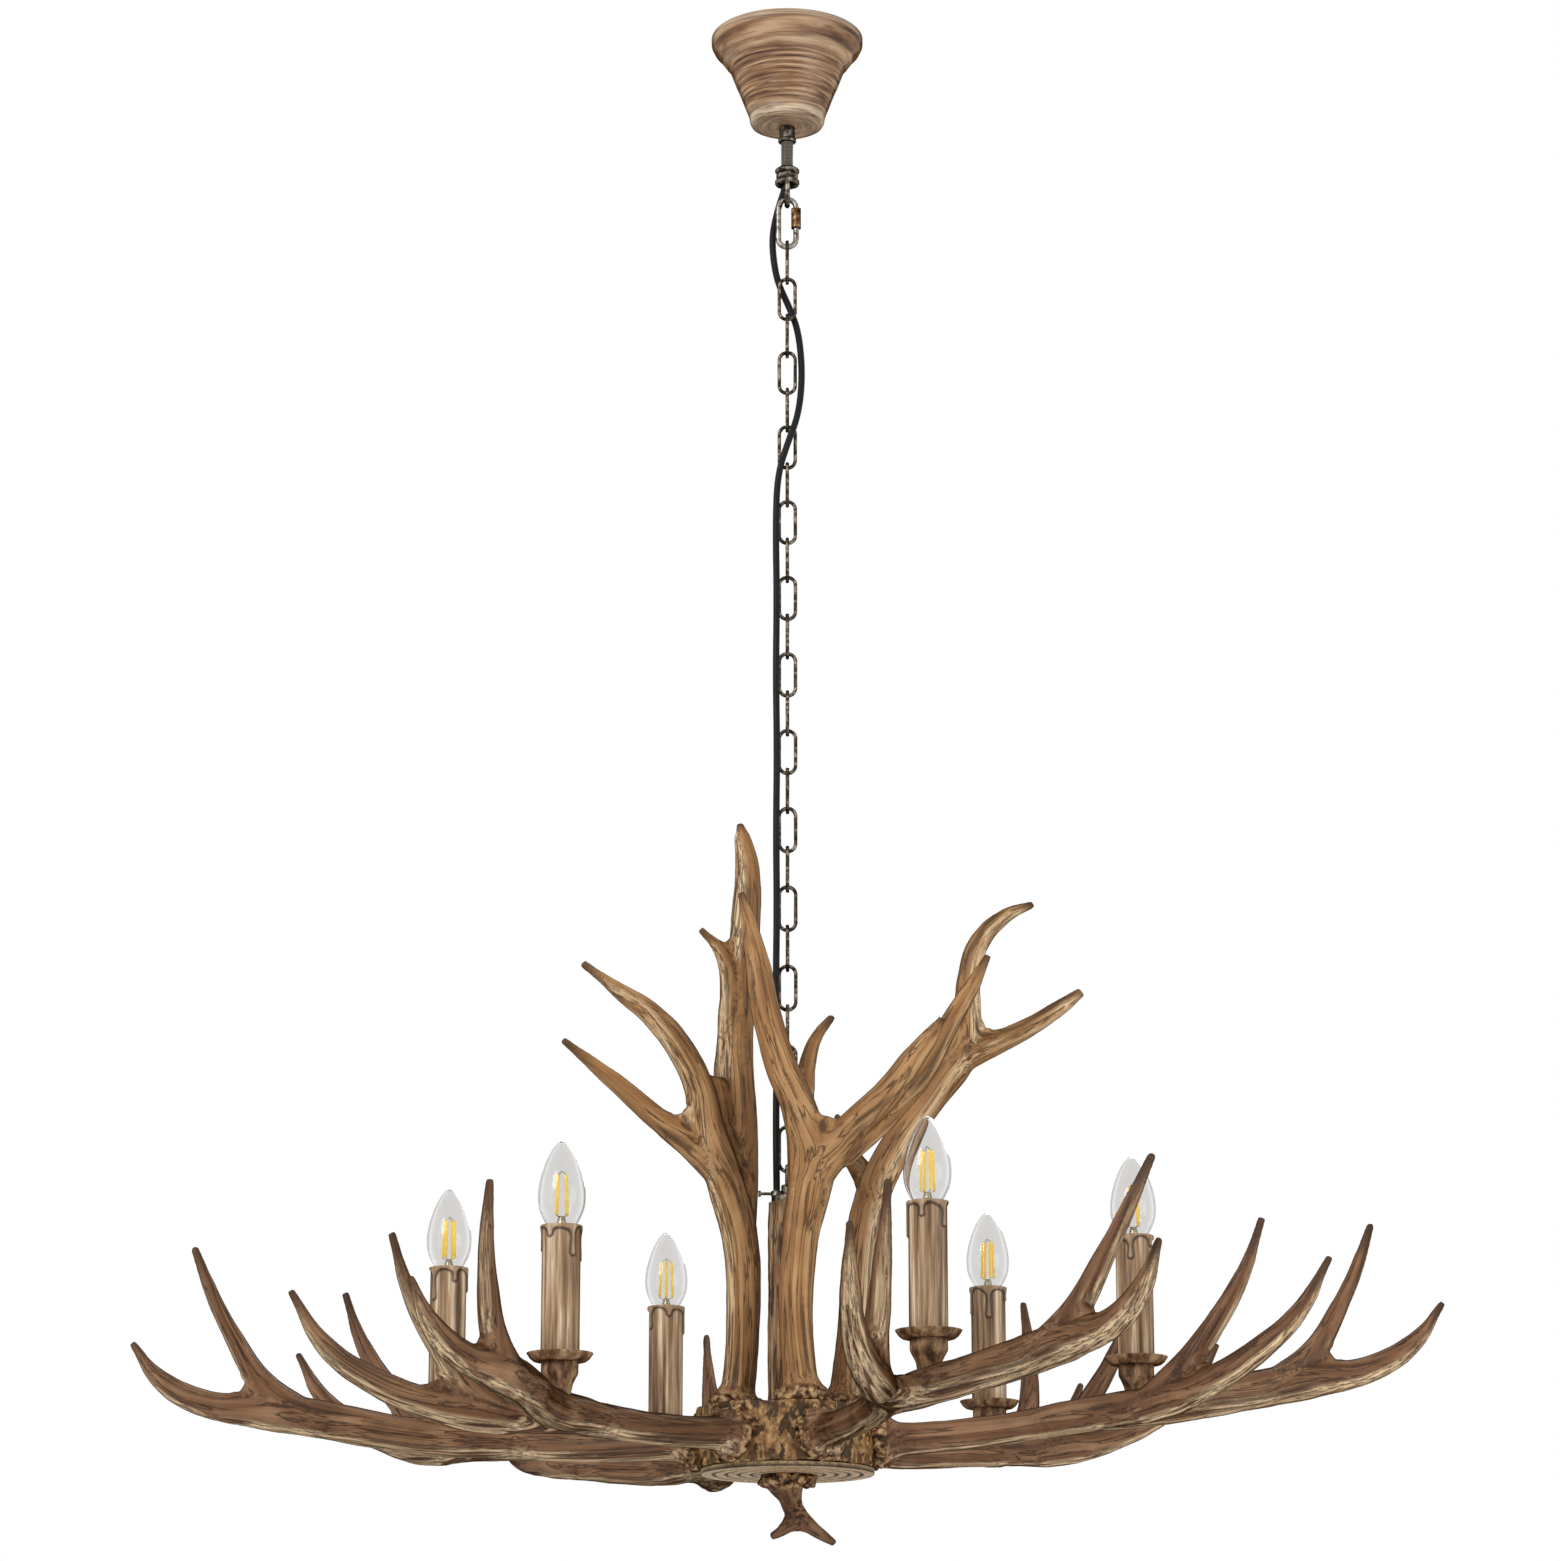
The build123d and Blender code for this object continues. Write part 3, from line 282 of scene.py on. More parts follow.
class Paint(Nodes):
    """Material with one Principled shader."""

    def __init__(self, name, gloss=0.5, **settings):
        self.material = bpy.data.materials.new(name)
        super().__init__(self.material)
        self.shader = self.add("ShaderNodeBsdfPrincipled", {"Specular IOR Level": gloss})
        for key, value in settings.items():
            self.set(key.replace("_", " "), value)
        self.add("ShaderNodeOutputMaterial", {"Surface": self.shader.outputs[0]})

    def set(self, name, value):
        """Feed one of the shader's inputs."""
        self.feed(self.shader.inputs[name], value)

    def place(self, stretch=(1, 1, 1)):
        """Object coordinates, stretched."""
        spot = self.add("ShaderNodeTexCoord").outputs["Object"]
        return self.add("ShaderNodeMapping", {"Vector": spot, "Scale": stretch}).outputs["Vector"]

    def attribute(self, name, output="Fac"):
        return self.add("ShaderNodeAttribute", attribute_name=name).outputs[output]

    def facing(self):
        """0 where the surface faces the eye, 1 where it turns away."""
        return self.add("ShaderNodeLayerWeight", {"Blend": 0.5}).outputs["Facing"]

    def span(self, value, low, high, start=0.0, end=1.0):
        """Stretch low to high of a value over start to end, and no further."""
        ends = {"From Min": low, "From Max": high, "To Min": start, "To Max": end}
        return self.add("ShaderNodeMapRange", {"Value": value, **ends}).outputs["Result"]

    def cloud(self, vector, scale, detail, roughness, distortion=0.0):
        return self.add("ShaderNodeTexNoise", {
            "Vector": vector, "Scale": scale, "Detail": detail, "Roughness": roughness,
            "Distortion": distortion}).outputs["Fac"]

    def mottle(self, vector, scale, low, high, detail, distortion=0.0):
        """Mask of noise, cut between two levels."""
        return self.span(self.cloud(vector, scale, detail, 0.6, distortion), low, high)

    def veins(self, vector, scale, levels, width, detail):
        """Mask of thin lines along the contours of noise."""
        steps = self.maths("MULTIPLY", self.cloud(vector, scale, detail, 0.55), levels, False)
        return self.span(self.maths("PINGPONG", steps, 0.5, False), 0.0, width, 1.0, 0.0)

    def ramp(self, factor, tones, *inner):
        """Colour ramp from the first tone to the last, the others at the given places between."""
        node = self.add("ShaderNodeValToRGB", {"Fac": factor})
        band = node.color_ramp
        while len(band.elements) < len(tones):
            band.elements.new(0.5)
        for element, position, tone in zip(band.elements, (0.0, *inner, 1.0), tones):
            element.position = position
            element.color = colour(tone)
        return node.outputs["Color"]

    def mix(self, factor, first, second):
        """Mix two colours."""
        return self.add("ShaderNodeMix", {0: factor, 6: first, 7: second}, data_type="RGBA").outputs[2]

    def relief(self, height, distance, strength):
        """Bump on the shader's normal."""
        bump = self.add("ShaderNodeBump", {"Height": height, "Distance": distance, "Strength": strength})
        self.set("Normal", bump.outputs["Normal"])

    def finish(self, tone, mask, rough, dark=None, start=0.6, share=0.9):
        """Send a colour, and a roughness between two values by a mask, to the shader. Given a dark
        colour, paint shade with it along the outline, where the surface turns from the eye; dull the gloss
        there."""
        if dark:
            # Painted shade along the outline: the colour goes to the dark one where the surface turns from
            # the eye.
            facing = self.facing()
            gloss = self.shader.inputs["Specular IOR Level"]
            self.feed(gloss, self.span(facing, 0.2, 0.7, gloss.default_value, 0.0))
            tone = self.mix(self.span(facing, start, 1.0, 0.0, share), tone, dark)
        self.set("Base Color", tone)
        self.set("Roughness", self.span(mask, 0.0, 1.0, *rough))
        return self.material


def antler_material(name, low, middle, high, warm_tone):
    """Brown cast resin: long dark lines, cream cracked streaks, pores at the forks, dark tips."""
    p = Paint(name, gloss=0.22)
    grain, spot = p.attribute("grain", "Vector"), p.place()
    streaks = p.mottle(grain, 150, 0.25, 0.75, 5)
    patches = p.mottle(spot, 24, 0.36, 0.66, 3)
    warm = p.mix(p.both(patches, 0.5), p.ramp(streaks, [low, middle, high], 0.42), warm_tone)
    creamy = p.both(p.attribute("pale"), p.mottle(grain, 240, 0.42, 0.58, 4))
    pale = p.mix(p.both(creamy, 0.95), warm, (236, 206, 164))
    cracks = p.both(p.attribute("pale"), p.veins(grain, 230, 5, 0.2, 4))
    lines = p.both(p.veins(grain, 170, 4, 0.13, 4), p.mottle(grain, 60, 0.4, 0.5, 2))
    pores = p.both(p.attribute("rough"), p.mottle(spot, 300, 0.5, 0.57, 3))
    dark = p.highest(
        p.both(cracks, 0.9), p.both(lines, 0.85), p.both(pores, 0.9), p.both(p.attribute("groove"), 0.75))
    marked = p.mix(dark, pale, (34, 17, 7))
    tip_tone = p.ramp(streaks, [(42, 26, 16), (104, 76, 52)])
    tipped = p.mix(p.both(p.attribute("tip"), 0.85), marked, tip_tone)
    blotches = p.mottle(spot, 190, 0.38, 0.62, 5)
    burr_tone = p.ramp(blotches, [(22, 10, 4), (112, 76, 44), (200, 164, 122)], 0.45)
    tone = p.mix(p.attribute("burr"), tipped, burr_tone)
    p.relief(p.maths("SUBTRACT", p.both(streaks, 0.5), p.both(dark, 0.6), False), 0.0009, 0.9)
    # (24, 12, 5) with 0.5 and 0.95: painted shade along the outline.
    return p.finish(tone, streaks, (0.42, 0.6), (24, 12, 5), 0.5, 0.95)


def canopy_material():
    """Sandy brown paint, brushed round and round, with painted highlight rings, mottled, at its edges."""
    p = Paint("canopy_brushed_paint", gloss=0.4)
    place = p.place()
    split = p.add("ShaderNodeSeparateXYZ", {"Vector": place}).outputs
    flat = p.add("ShaderNodeCombineXYZ", {"X": split["X"], "Y": split["Y"]}).outputs[0]
    around = p.add("ShaderNodeVectorMath", {0: flat}, operation="NORMALIZE").outputs[0]
    reach = p.add("ShaderNodeVectorMath", {0: flat}, operation="LENGTH").outputs["Value"]
    rise = p.maths("MULTIPLY", p.maths("SUBTRACT", split["Z"], reach, False), 900.0, False)
    shift = p.add("ShaderNodeCombineXYZ", {"Z": rise}).outputs[0]
    rings = p.add("ShaderNodeVectorMath", {0: around, 1: shift}, operation="ADD").outputs[0]
    brushed = p.mottle(rings, 0.8, 0.34, 0.66, 4)
    scratches = p.both(p.veins(rings, 0.6, 3, 0.16, 3), p.mottle(place, 38, 0.4, 0.56, 3))
    base = p.ramp(brushed, [(66, 36, 16), (130, 95, 64), (190, 156, 122)], 0.45)
    scratched = p.mix(p.both(scratches, 0.8), base, (60, 34, 16))
    # Painted highlight: mottled pale cream rings on the ridge bands.
    highlight_rings = p.both(p.attribute("ridge"), p.mottle(rings, 1.2, 0.35, 0.55, 3))
    tone = p.mix(p.both(highlight_rings, 0.8), scratched, (224, 204, 176))
    p.relief(brushed, 0.00012, 0.6)
    # (50, 28, 14): painted shade along the outline.
    return p.finish(tone, brushed, (0.34, 0.5), (50, 28, 14))


def bark_material(name, stretch, dark, middle, pale, scale, cracks):
    """Painted resin bark, streaked from dark to pale and cracked."""
    p = Paint(name, gloss=0.25)
    place = p.place(stretch)
    streak = p.mottle(place, scale, 0.34, 0.66, 5, 0.4)
    split = p.veins(place, scale * 0.8, 4, 0.14, 4)
    low = p.highest(p.both(p.attribute("groove"), 0.85), p.both(split, cracks))
    p.relief(p.maths("SUBTRACT", streak, split, False), 0.0005, 0.7)
    # The dark colour is also painted shade along the outline.
    return p.finish(
        p.mix(low, p.ramp(streak, [dark, middle, pale], 0.4), dark), streak, (0.45, 0.65), dark)


def drum_material():
    """Golden brown paint with sharp dark blotches, like plane-tree bark."""
    p = Paint("drum_bark_paint", gloss=0.25)
    place = p.place((1, 1, 0.8))
    fine = p.mottle(place, 260, 0.3, 0.7, 5)
    blotch = p.mottle(place, 95, 0.535, 0.56, 4, 0.5)
    ridges = p.both(p.attribute("ridge"), p.mottle(p.place((1, 1, 0.12)), 240, 0.5, 0.58, 3))
    base = p.ramp(fine, [(100, 66, 34), (150, 112, 70), (200, 164, 118)], 0.5)
    dark = p.highest(p.both(blotch, 0.85), p.both(ridges, 0.8), p.both(p.attribute("groove"), 0.6))
    p.relief(p.maths("SUBTRACT", p.both(fine, 0.4), dark, False), 0.0008, 0.8)
    # (28, 14, 6): painted shade along the outline.
    return p.finish(p.mix(dark, base, (34, 17, 7)), fine, (0.45, 0.65), (28, 14, 6))


def disc_material():
    """Pale end of a trunk with crisp dark growth rings."""
    p = Paint("disc_rings_paint", gloss=0.25)
    cloud = p.mottle(p.place(), 60, 0.3, 0.7, 5)
    fine = p.mottle(p.place(), 420, 0.35, 0.65, 4)
    base = p.ramp(fine, [(140, 110, 76), (180, 150, 112), (214, 190, 152)], 0.5)
    shaded = p.mix(p.both(cloud, 0.3), base, (120, 90, 60))
    p.relief(fine, 0.0003, 0.5)
    return p.finish(p.mix(p.attribute("groove"), shaded, (24, 13, 5)), cloud, (0.45, 0.65))


def candle_material():
    """Upright brown and cream grain, with dark lines round the wax drips."""
    p = Paint("candle_grain_paint", gloss=0.35)
    grain = p.mottle(p.place((1, 1, 0.04)), 210, 0.34, 0.66, 4)
    lines = p.veins(p.place((1, 1, 0.05)), 260, 3, 0.12, 3)
    base = p.ramp(grain, [(72, 48, 28), (134, 104, 74), (180, 150, 116), (230, 208, 180)], 0.35, 0.7)
    lined = p.mix(p.both(lines, 0.45), base, (76, 46, 24))
    waxed = p.mix(p.both(p.attribute("wax"), 0.6), lined, (172, 142, 110))
    tone = p.mix(p.attribute("edge"), waxed, (20, 10, 4))
    p.relief(grain, 0.0003, 0.6)
    # (22, 12, 5) with 0.6 and 0.95: painted shade along the outline.
    return p.finish(tone, grain, (0.36, 0.52), (22, 12, 5), 0.6, 0.95)


def worn_metal(name, dark, middle, pale, scale, roughness, bump=0.0002):
    """Metal with a cloudy tone, slightly uneven gloss and painted shade along its outlines."""
    p = Paint(name, Metallic=1.0, Specular_Tint=dark)
    cloud = p.mottle(p.place(), scale, 0.3, 0.7, 5)
    p.relief(p.mottle(p.place(), scale * 2.5, 0.3, 0.7, 3), bump, 0.6)
    return p.finish(p.ramp(cloud, [dark, middle, pale], 0.5), cloud, roughness, dark, 0.5)


def threaded_metal():
    """Dull pipe with a fine screw thread."""
    p = Paint("threaded_pipe_metal", Metallic=0.9)
    wave = p.add("ShaderNodeTexWave", {"Vector": p.place(), "Scale": 260.0}, bands_direction="Z")
    turns = wave.outputs["Fac"]
    cloud = p.mottle(p.place(), 90, 0.3, 0.7, 4)
    tone = p.mix(p.both(cloud, 0.4), p.ramp(turns, [(58, 54, 48), (150, 144, 134)]), (96, 88, 78))
    p.relief(turns, 0.0004, 1.0)
    return p.finish(tone, cloud, (0.3, 0.5))


def plain_plastic(name, dark, pale, roughness):
    """Moulded plastic with a faint cloud of tone and grain."""
    p = Paint(name, gloss=0.2)
    cloud = p.mottle(p.place(), 180, 0.3, 0.7, 4)
    p.relief(p.mottle(p.place(), 900, 0.3, 0.7, 2), 0.0001, 0.4)
    return p.finish(p.ramp(cloud, [dark, pale]), cloud, roughness)


def glass_material():
    """Thin grey glass, with a painted highlight just inside its outline and painted shade along it."""
    p = Paint("bulb_clear_glass", Roughness=0.02, IOR=1.25, Transmission_Weight=1.0)
    # Ramp by facing: grey in the middle, then a painted highlight band, then painted shade at the outline.
    tones = [(0.80, 0.79, 0.78, 1), (0.84, 0.83, 0.82, 1), (0.99, 0.99, 0.99, 1),
             (0.92, 0.92, 0.92, 1), (0.42, 0.42, 0.41, 1), (0.24, 0.24, 0.24, 1)]
    p.set("Base Color", p.ramp(p.facing(), tones, 0.35, 0.5, 0.6, 0.72))
    p.relief(p.mottle(p.place(), 40, 0.2, 0.8, 2), 0.0001, 0.1)
    return p.material


def filament_material():
    """Yellow coated filament sticks, glowing a little."""
    p = Paint("filament_yellow")
    cloud = p.mottle(p.place(), 900, 0.3, 0.7, 3)
    tone = p.ramp(cloud, [(234, 190, 54), (250, 222, 104)])
    p.set("Emission Color", tone)
    p.set("Emission Strength", 0.35)
    return p.finish(tone, cloud, (0.4, 0.6))


# ---- cable
# Control points of the cable's line, in millimetres, from the terminal block to the gland.
CABLE_ROUTE = [
    (24.7, 0, -9.5), (17.94, 0, -9.5), (6.57, 0, -16.07), (0, 0, -27.44), (0.15, 0, -52),
    (-0.1, 0.1, -90), (0, 0, -126), (-8, 7.4, -148), (-12.4, 3.4, -171.95), (-11.2, 2.8, -194.75),
    (-7.4, 6.6, -213), (1.5, 8.6, -232), (9.4, 5.6, -255), (12.4, 0.4, -294), (9.2, -5.6, -330),
    (0, -8.4, -356), (-8, -5.4, -382), (-9.4, -4.9, -424), (-8.4, -5.3, -484), (-9.2, -4.8, -548),
    (-8.2, -5.2, -612), (-9, -5.4, -676), (-8.3, -4.8, -740), (-9.1, -5.2, -800), (-8.4, -4.9, -856),
    (-9, -5.2, -906), (-8.7, -4.8, -942), (-8.5, -0.1, -956.95), (-8.5, 0, -961.75),
]
CABLE_D = 5.5 * MM
CABLE_PART = -166 * MM      # the two lengths of cable meet here, between the quick link's ends


def cable_line():
    """Points along the cable's smooth line."""
    data = new_curve(0.0, 0, 10)
    spline = data.splines.new("NURBS")
    spline.points.add(len(CABLE_ROUTE) - 1)
    for knot, (x, y, z) in zip(spline.points, CABLE_ROUTE):
        knot.co = (x * MM, y * MM, z * MM, 1)
    spline.order_u = 3
    spline.use_endpoint_u = True
    return [Vector(spot) for spot in places(baked(data))]


def tube(points, radius):
    """Round tube along a line of points."""
    data = new_curve(radius, 3, 1)
    spline = data.splines.new("POLY")
    spline.points.add(len(points) - 1)
    for knot, point in zip(spline.points, points):
        knot.co = (*point, 1)
    mesh = baked(data)
    mesh.shade_smooth()
    return mesh


def lay_cable():
    line = cable_line()
    cut = next(k for k, spot in enumerate(line) if spot.z < CABLE_PART)
    runs = (
        ("cable_upper", line[:cut + 1], ("ceiling", "quick_link"), (-0.134, -0.158),
         ("cable_head", "cable_link")),
        ("cable_lower", line[cut:], ("quick_link", "chain"), (-0.172, -0.198), ("cable_main",)),
    )
    for name, points, bodies, heights, nodes in runs:
        piece = placed(name, tube(points, CABLE_D / 2))
        piece.data.materials.append(CABLE_SHEATH)
        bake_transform(piece)
        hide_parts(*nodes)


# ---- antlers
VOXEL = 1.6 * MM
SMOOTHINGS = 10
WEB_GAP = 16 * MM           # a fork is filled as far as its two beams are this much apart
PALM_GAP = 48 * MM          # the same at the left upright's palm
WEB_REACH = 150 * MM        # from the tine's root
TIP_R = 3.1 * MM            # thinner strokes are thickened to this
WEB_THICKNESS = 0.88        # of the thinner beam, less WEB_THINNING at the widest gap
WEB_THINNING = 0.35
GRAIN_DRIFT = 0.045         # how fast the grain changes along a beam, against across it
BURR_LENGTH = 15 * MM
BEADS = 34                  # of a burr, in two rounds

# Each stroke is a list of (x, y, z, radius) in millimetres along a beam or a tine. An arm runs
# along +X from its seat on the drum, uprights stand on the hub's top, the finial hangs under the disc.
ARM_STROKES = [
    [(0, 0, 0, 17), (4.5, 0, 0, 20.5), (10.5, 0, 0, 18.5), (19.5, -1, 0, 13.2), (53.5, -4, 0, 12.2),
     (103.5, -7, 2, 12.2), (148.5, -14, 6, 13.2), (188.5, -32, 8, 13.2), (223.5, -52, 9, 13.2),
     (258.5, -76, 18, 11.5), (293.5, -98, 35, 9.5), (325.5, -114, 60, 7), (349.5, -124, 97, 2.2)],
    [(205.5, -42, 8, 11), (233.5, -56, 30, 10.2), (263.5, -65, 64, 8.2), (285.5, -71, 100, 5.8),
     (299.5, -74, 137, 2.2)],
    [(129.5, -8, 5, 10), (165.5, -6, 8, 12.8), (199.5, -1, 10, 14), (233.5, 12, 14, 14),
     (269.5, 30, 20, 14.5), (303.5, 43, 26, 15), (339.5, 53, 30, 12.8), (375.5, 61, 37, 10.2),
     (407.5, 65, 54, 7.5), (431.5, 67, 84, 2.2)],
    [(301.5, 42, 27, 12), (331.5, 54, 52, 9.6), (352.5, 66, 86, 7.4), (367.5, 78, 120, 5.4),
     (378.5, 90, 152, 2.2)],
]
LEFT_UPRIGHT = [
    [(-41, 17, 0, 16), (-41, 17, 4, 19.5), (-40, 17, 10, 17), (-38, 17, 19, 13.6), (-34, 13, 83, 13.4),
     (-36, 9, 127, 14.2), (-48, 5, 174, 14.6), (-61, 1, 214, 13.4), (-70, -1, 252, 11.8),
     (-84, -2, 280, 11), (-104, -1, 305, 9.6), (-130, 2, 325, 6.6), (-161, 5, 349, 2.2)],
    [(-52, 5, 181, 11.5), (-74, -2, 201, 10), (-106, -12, 227, 9), (-138, -22, 253, 6.8),
     (-174, -30, 281, 2.2)],
    [(-36, 14, 115, 11), (-37, 24, 173, 14.5), (-40, 33, 231, 16.5), (-42, 39, 281, 15.5), (-37, 42, 341, 13),
     (-33, 41, 391, 12), (-32, 39, 433, 10), (-36, 37, 459, 6.5), (-38, 36, 470, 2.6)],
    [(-44, 38, 275, 12), (-46, 36, 307, 9.4), (-46, 33, 337, 7.2), (-53, 29, 363, 5.4), (-69, 24, 381, 2.2)],
]
FRONT_UPRIGHT = [
    [(11, -43, 0, 16), (11, -43, 4, 19.5), (10, -43, 10, 17), (9, -43, 19, 13.6), (6, -46, 73, 13.2),
     (10, -50, 127, 14.2), (17, -54, 171, 17.5), (10, -58, 217, 14), (-6, -62, 257, 12.4),
     (-17, -64, 297, 11.4), (-23, -62, 333, 9.8), (-30, -58, 366, 6.2), (-36, -54, 392, 2.2)],
    [(22, -56, 175, 15), (50, -62, 207, 12.6), (77, -70, 233, 11), (96, -76, 258, 9.2), (109, -80, 274, 6.8),
     (118, -82, 287, 2.4)],
    [(40, -54, 187, 12), (76, -44, 221, 11), (104, -38, 254, 9.6), (124, -32, 291, 8.4), (141, -28, 320, 6.6),
     (156, -24, 349, 2.4)],
    [(10, -48, 207, 9), (13, -38, 239, 7.8), (16, -31, 265, 6.8), (22, -26, 283, 5.2), (35, -22, 301, 2.0)],
]
BACK_UPRIGHT = [
    [(42, 27, 0, 16), (42, 27, 4, 19), (43, 27, 10, 16.5), (45, 27, 19, 13), (52, 28, 83, 12.4),
     (57, 28, 131, 13), (67, 30, 172, 13.8), (90, 32, 216, 13), (113, 34, 248, 12.4), (134, 36, 278, 13.4),
     (142, 38, 313, 11), (143, 40, 342, 9.6), (153, 43, 375, 8.6), (173, 46, 396, 6.4), (196, 50, 407, 2.4)],
    [(130, 36, 275, 11), (162, 34, 290, 9.4), (189, 32, 303, 8.2), (212, 30, 317, 6.6), (232, 28, 331, 4.2)],
    [(66, 32, 167, 11), (62, 62, 187, 10), (54, 96, 207, 8.4), (46, 128, 229, 6.2), (40, 152, 255, 2.2)],
]
FINIAL = [
    [(0, 0, 0, 17), (0, 0, -4, 20), (0, 0, -9, 15), (2, 0, -16, 9.5), (5, 0, -26, 8), (13, -1, -35, 6.6),
     (24, -3, -44, 4.8), (36, -4, -52, 1.8)],
    [(9, 0, -27, 6.5), (4, -3, -35, 5.6), (-4, -5, -42, 4.2), (-13, -6, -47, 1.8)],
]


def fork_of(lines, spot):
    """Line that passes nearest to a tine's root, and the sample on it."""
    gaps = [np.linalg.norm(line[0] - spot, axis=1) for line in lines]
    nearest = min(range(len(lines)), key=lambda k: gaps[k].min())
    return lines[nearest], gaps[nearest].argmin()


def centre_lines(strokes):
    """Sampled centre line of each stroke: places, radii, directions and distance along the antler."""
    lines = []
    for points in strokes:
        spots = places(baked(curve_data([points], thick=False)))
        knots = range(len(points))
        radii = np.interp(np.linspace(0, knots[-1], len(spots)), knots, [point[3] for point in points])
        along = np.gradient(spots, axis=0)
        along /= np.linalg.norm(along, axis=1)[:, None]
        run = np.concatenate([[0], np.cumsum(np.linalg.norm(np.diff(spots, axis=0), axis=1))])
        if lines:
            parent, fork = fork_of(lines, spots[0])
            run = run + parent[3][fork]
        lines.append((spots, radii, along, run))
    return lines


def add_webs(bm, lines, palm):
    """Fill each fork with balls between the tine and its parent, so that it ends in a round web.
    The line with the number palm gets the wide one."""
    for k, (spots, radii, _, run) in enumerate(lines[1:], 1):
        widest = PALM_GAP if k == palm else WEB_GAP
        parent, fork = fork_of(lines[:k], spots[0])
        for spot, radius, reach in zip(spots[::2], radii[::2], (run - run[0])[::2]):
            for way in (1, -1):
                other = np.abs(parent[3] - parent[3][fork] - way * reach).argmin()
                apart = np.linalg.norm(spot - parent[0][other])
                gap = apart - radius - parent[1][other]
                if reach > WEB_REACH or gap > 1.3 * widest or apart < 1 * MM:
                    continue
                size = min(radius, parent[1][other]) * (WEB_THICKNESS - WEB_THINNING * max(gap, 0) / widest)
                for across in np.linspace(0, 1, 3 + 2 * int(max(gap, 0) / size)):
                    if gap > widest * (0.6 + 0.6 * (2 * across - 1) ** 2):
                        continue
                    share = (parent[1][other] - size / 2 + across * (gap + size)) / apart
                    middle = Vector(parent[0][other]).lerp(Vector(spot), min(max(share, 0), 1))
                    ball(bm, middle, size)


def follow_strokes(spots, lines):
    """For each place: offset from the nearest centre line, distance along it, radius there and how
    near it is to a fork."""
    offsets, runs, radii, gaps = [], [], [], []
    for centre, radius, along, run in lines:
        reach = np.linalg.norm(spots[:, None, :] - centre[None, :, :], axis=2) - radius[None, :]
        best = reach.argmin(axis=1)
        offset = spots - centre[best]
        slip = (offset * along[best]).sum(axis=1)
        offsets.append(offset - along[best] * slip[:, None])
        runs.append(run[best] + slip)
        radii.append(radius[best])
        gaps.append(reach[np.arange(len(spots)), best])
    gaps = np.array(gaps)
    weight = np.exp(-(gaps - gaps.min(axis=0)) / (8 * MM))
    weight /= weight.sum(axis=0)
    offset = (np.array(offsets) * weight[:, :, None]).sum(axis=0)
    near = np.sort(gaps, axis=0)
    fork = np.exp((near[0] - near[1]) / (5 * MM)) * (1 - ease(4 * MM, 16 * MM, near[1]))
    return offset, (np.array(runs) * weight).sum(axis=0), (np.array(radii) * weight).sum(axis=0), fork


def burr_beads(bm, centre, along, radius, seed):
    """Rough crown of beads round an antler's base."""
    dice = random.Random(seed)
    side = along.orthogonal().normalized()
    for k in range(BEADS):
        turn = Matrix.Rotation(4 * math.pi * k / BEADS + dice.uniform(-0.1, 0.1), 3, along)
        spot = centre + along * dice.uniform(-4, 4) * MM + turn @ side * (radius - dice.uniform(0.5, 3) * MM)
        ball(bm, spot, dice.uniform(2.6, 4.6) * MM)


def antler_mesh(name, strokes, base, seed, pale_side, palm=None):
    """One antler: smooth tubes joined by remeshing, then carved with grooves, ridges and a burr.
    It is cream on its pale side, the more so the longer that vector is."""
    strokes = [[(*(Vector(p[:3]) * MM + Vector(base)), max(p[3] * MM, TIP_R)) for p in points]
               for points in strokes]
    lines = centre_lines(strokes)
    bm = bmesh.new()
    bm.from_mesh(baked(curve_data(strokes, thick=True)))
    add_webs(bm, lines, palm)
    first, second = Vector(strokes[0][0][:3]), Vector(strokes[0][1][:3])
    burr_beads(bm, second, (second - first).normalized(), strokes[0][1][3], seed)
    mesh = baked(
        raw_mesh(bm, name), ("REMESH", {"mode": "VOXEL", "voxel_size": VOXEL, "use_smooth_shade": True}),
        ("SMOOTH", {"factor": 0.5, "iterations": SMOOTHINGS}))
    spots = places(mesh)
    outward = places(mesh, "normal")
    offset, run, radius, fork = follow_strokes(spots, lines)
    grain = offset + run[:, None] * GRAIN_DRIFT * np.array([0.6, 0.55, 0.58])
    tip = 1 - ease(3 * MM, 6 * MM, radius)
    burr = 1 - ease(BURR_LENGTH * 0.6, BURR_LENGTH, run)
    streak = noise_at(grain + seed, 190, 3)
    knobs = noise_at(spots, 190, 2)
    swell = noise_at(spots, 38, 2)
    turned_away = (outward * np.array(pale_side)).sum(axis=1)
    pale = ease(0.4, 0.75, 0.85 * turned_away + 0.9 * noise_at(grain - seed, 38, 2))
    pale *= (1 - tip) * (1 - burr)
    deep = 0.28 + 0.45 * pale + 0.3 * fork
    carve = deep * streak * (1 - 0.6 * tip) * (1 - burr) + 0.5 * swell + 1.7 * knobs * burr
    move_to(mesh, spots + outward * (carve * MM)[:, None])
    near_burr = 1 - ease(BURR_LENGTH, 4 * BURR_LENGTH, run)
    rough = np.clip(fork + 0.6 * near_burr + 0.8 * noise_at(grain + seed, 26, 2) - 0.25, 0, 1)
    groove = np.clip(-2.6 * streak - 0.75, 0, 1) * (1 - burr) + np.clip(-3 * knobs - 0.3, 0, 1) * burr
    for key, values in (("grain", grain), ("tip", tip), ("burr", burr), ("pale", pale), ("rough", rough),
                        ("groove", groove)):
        paint(mesh, key, values)
    mesh.shade_smooth()
    return mesh


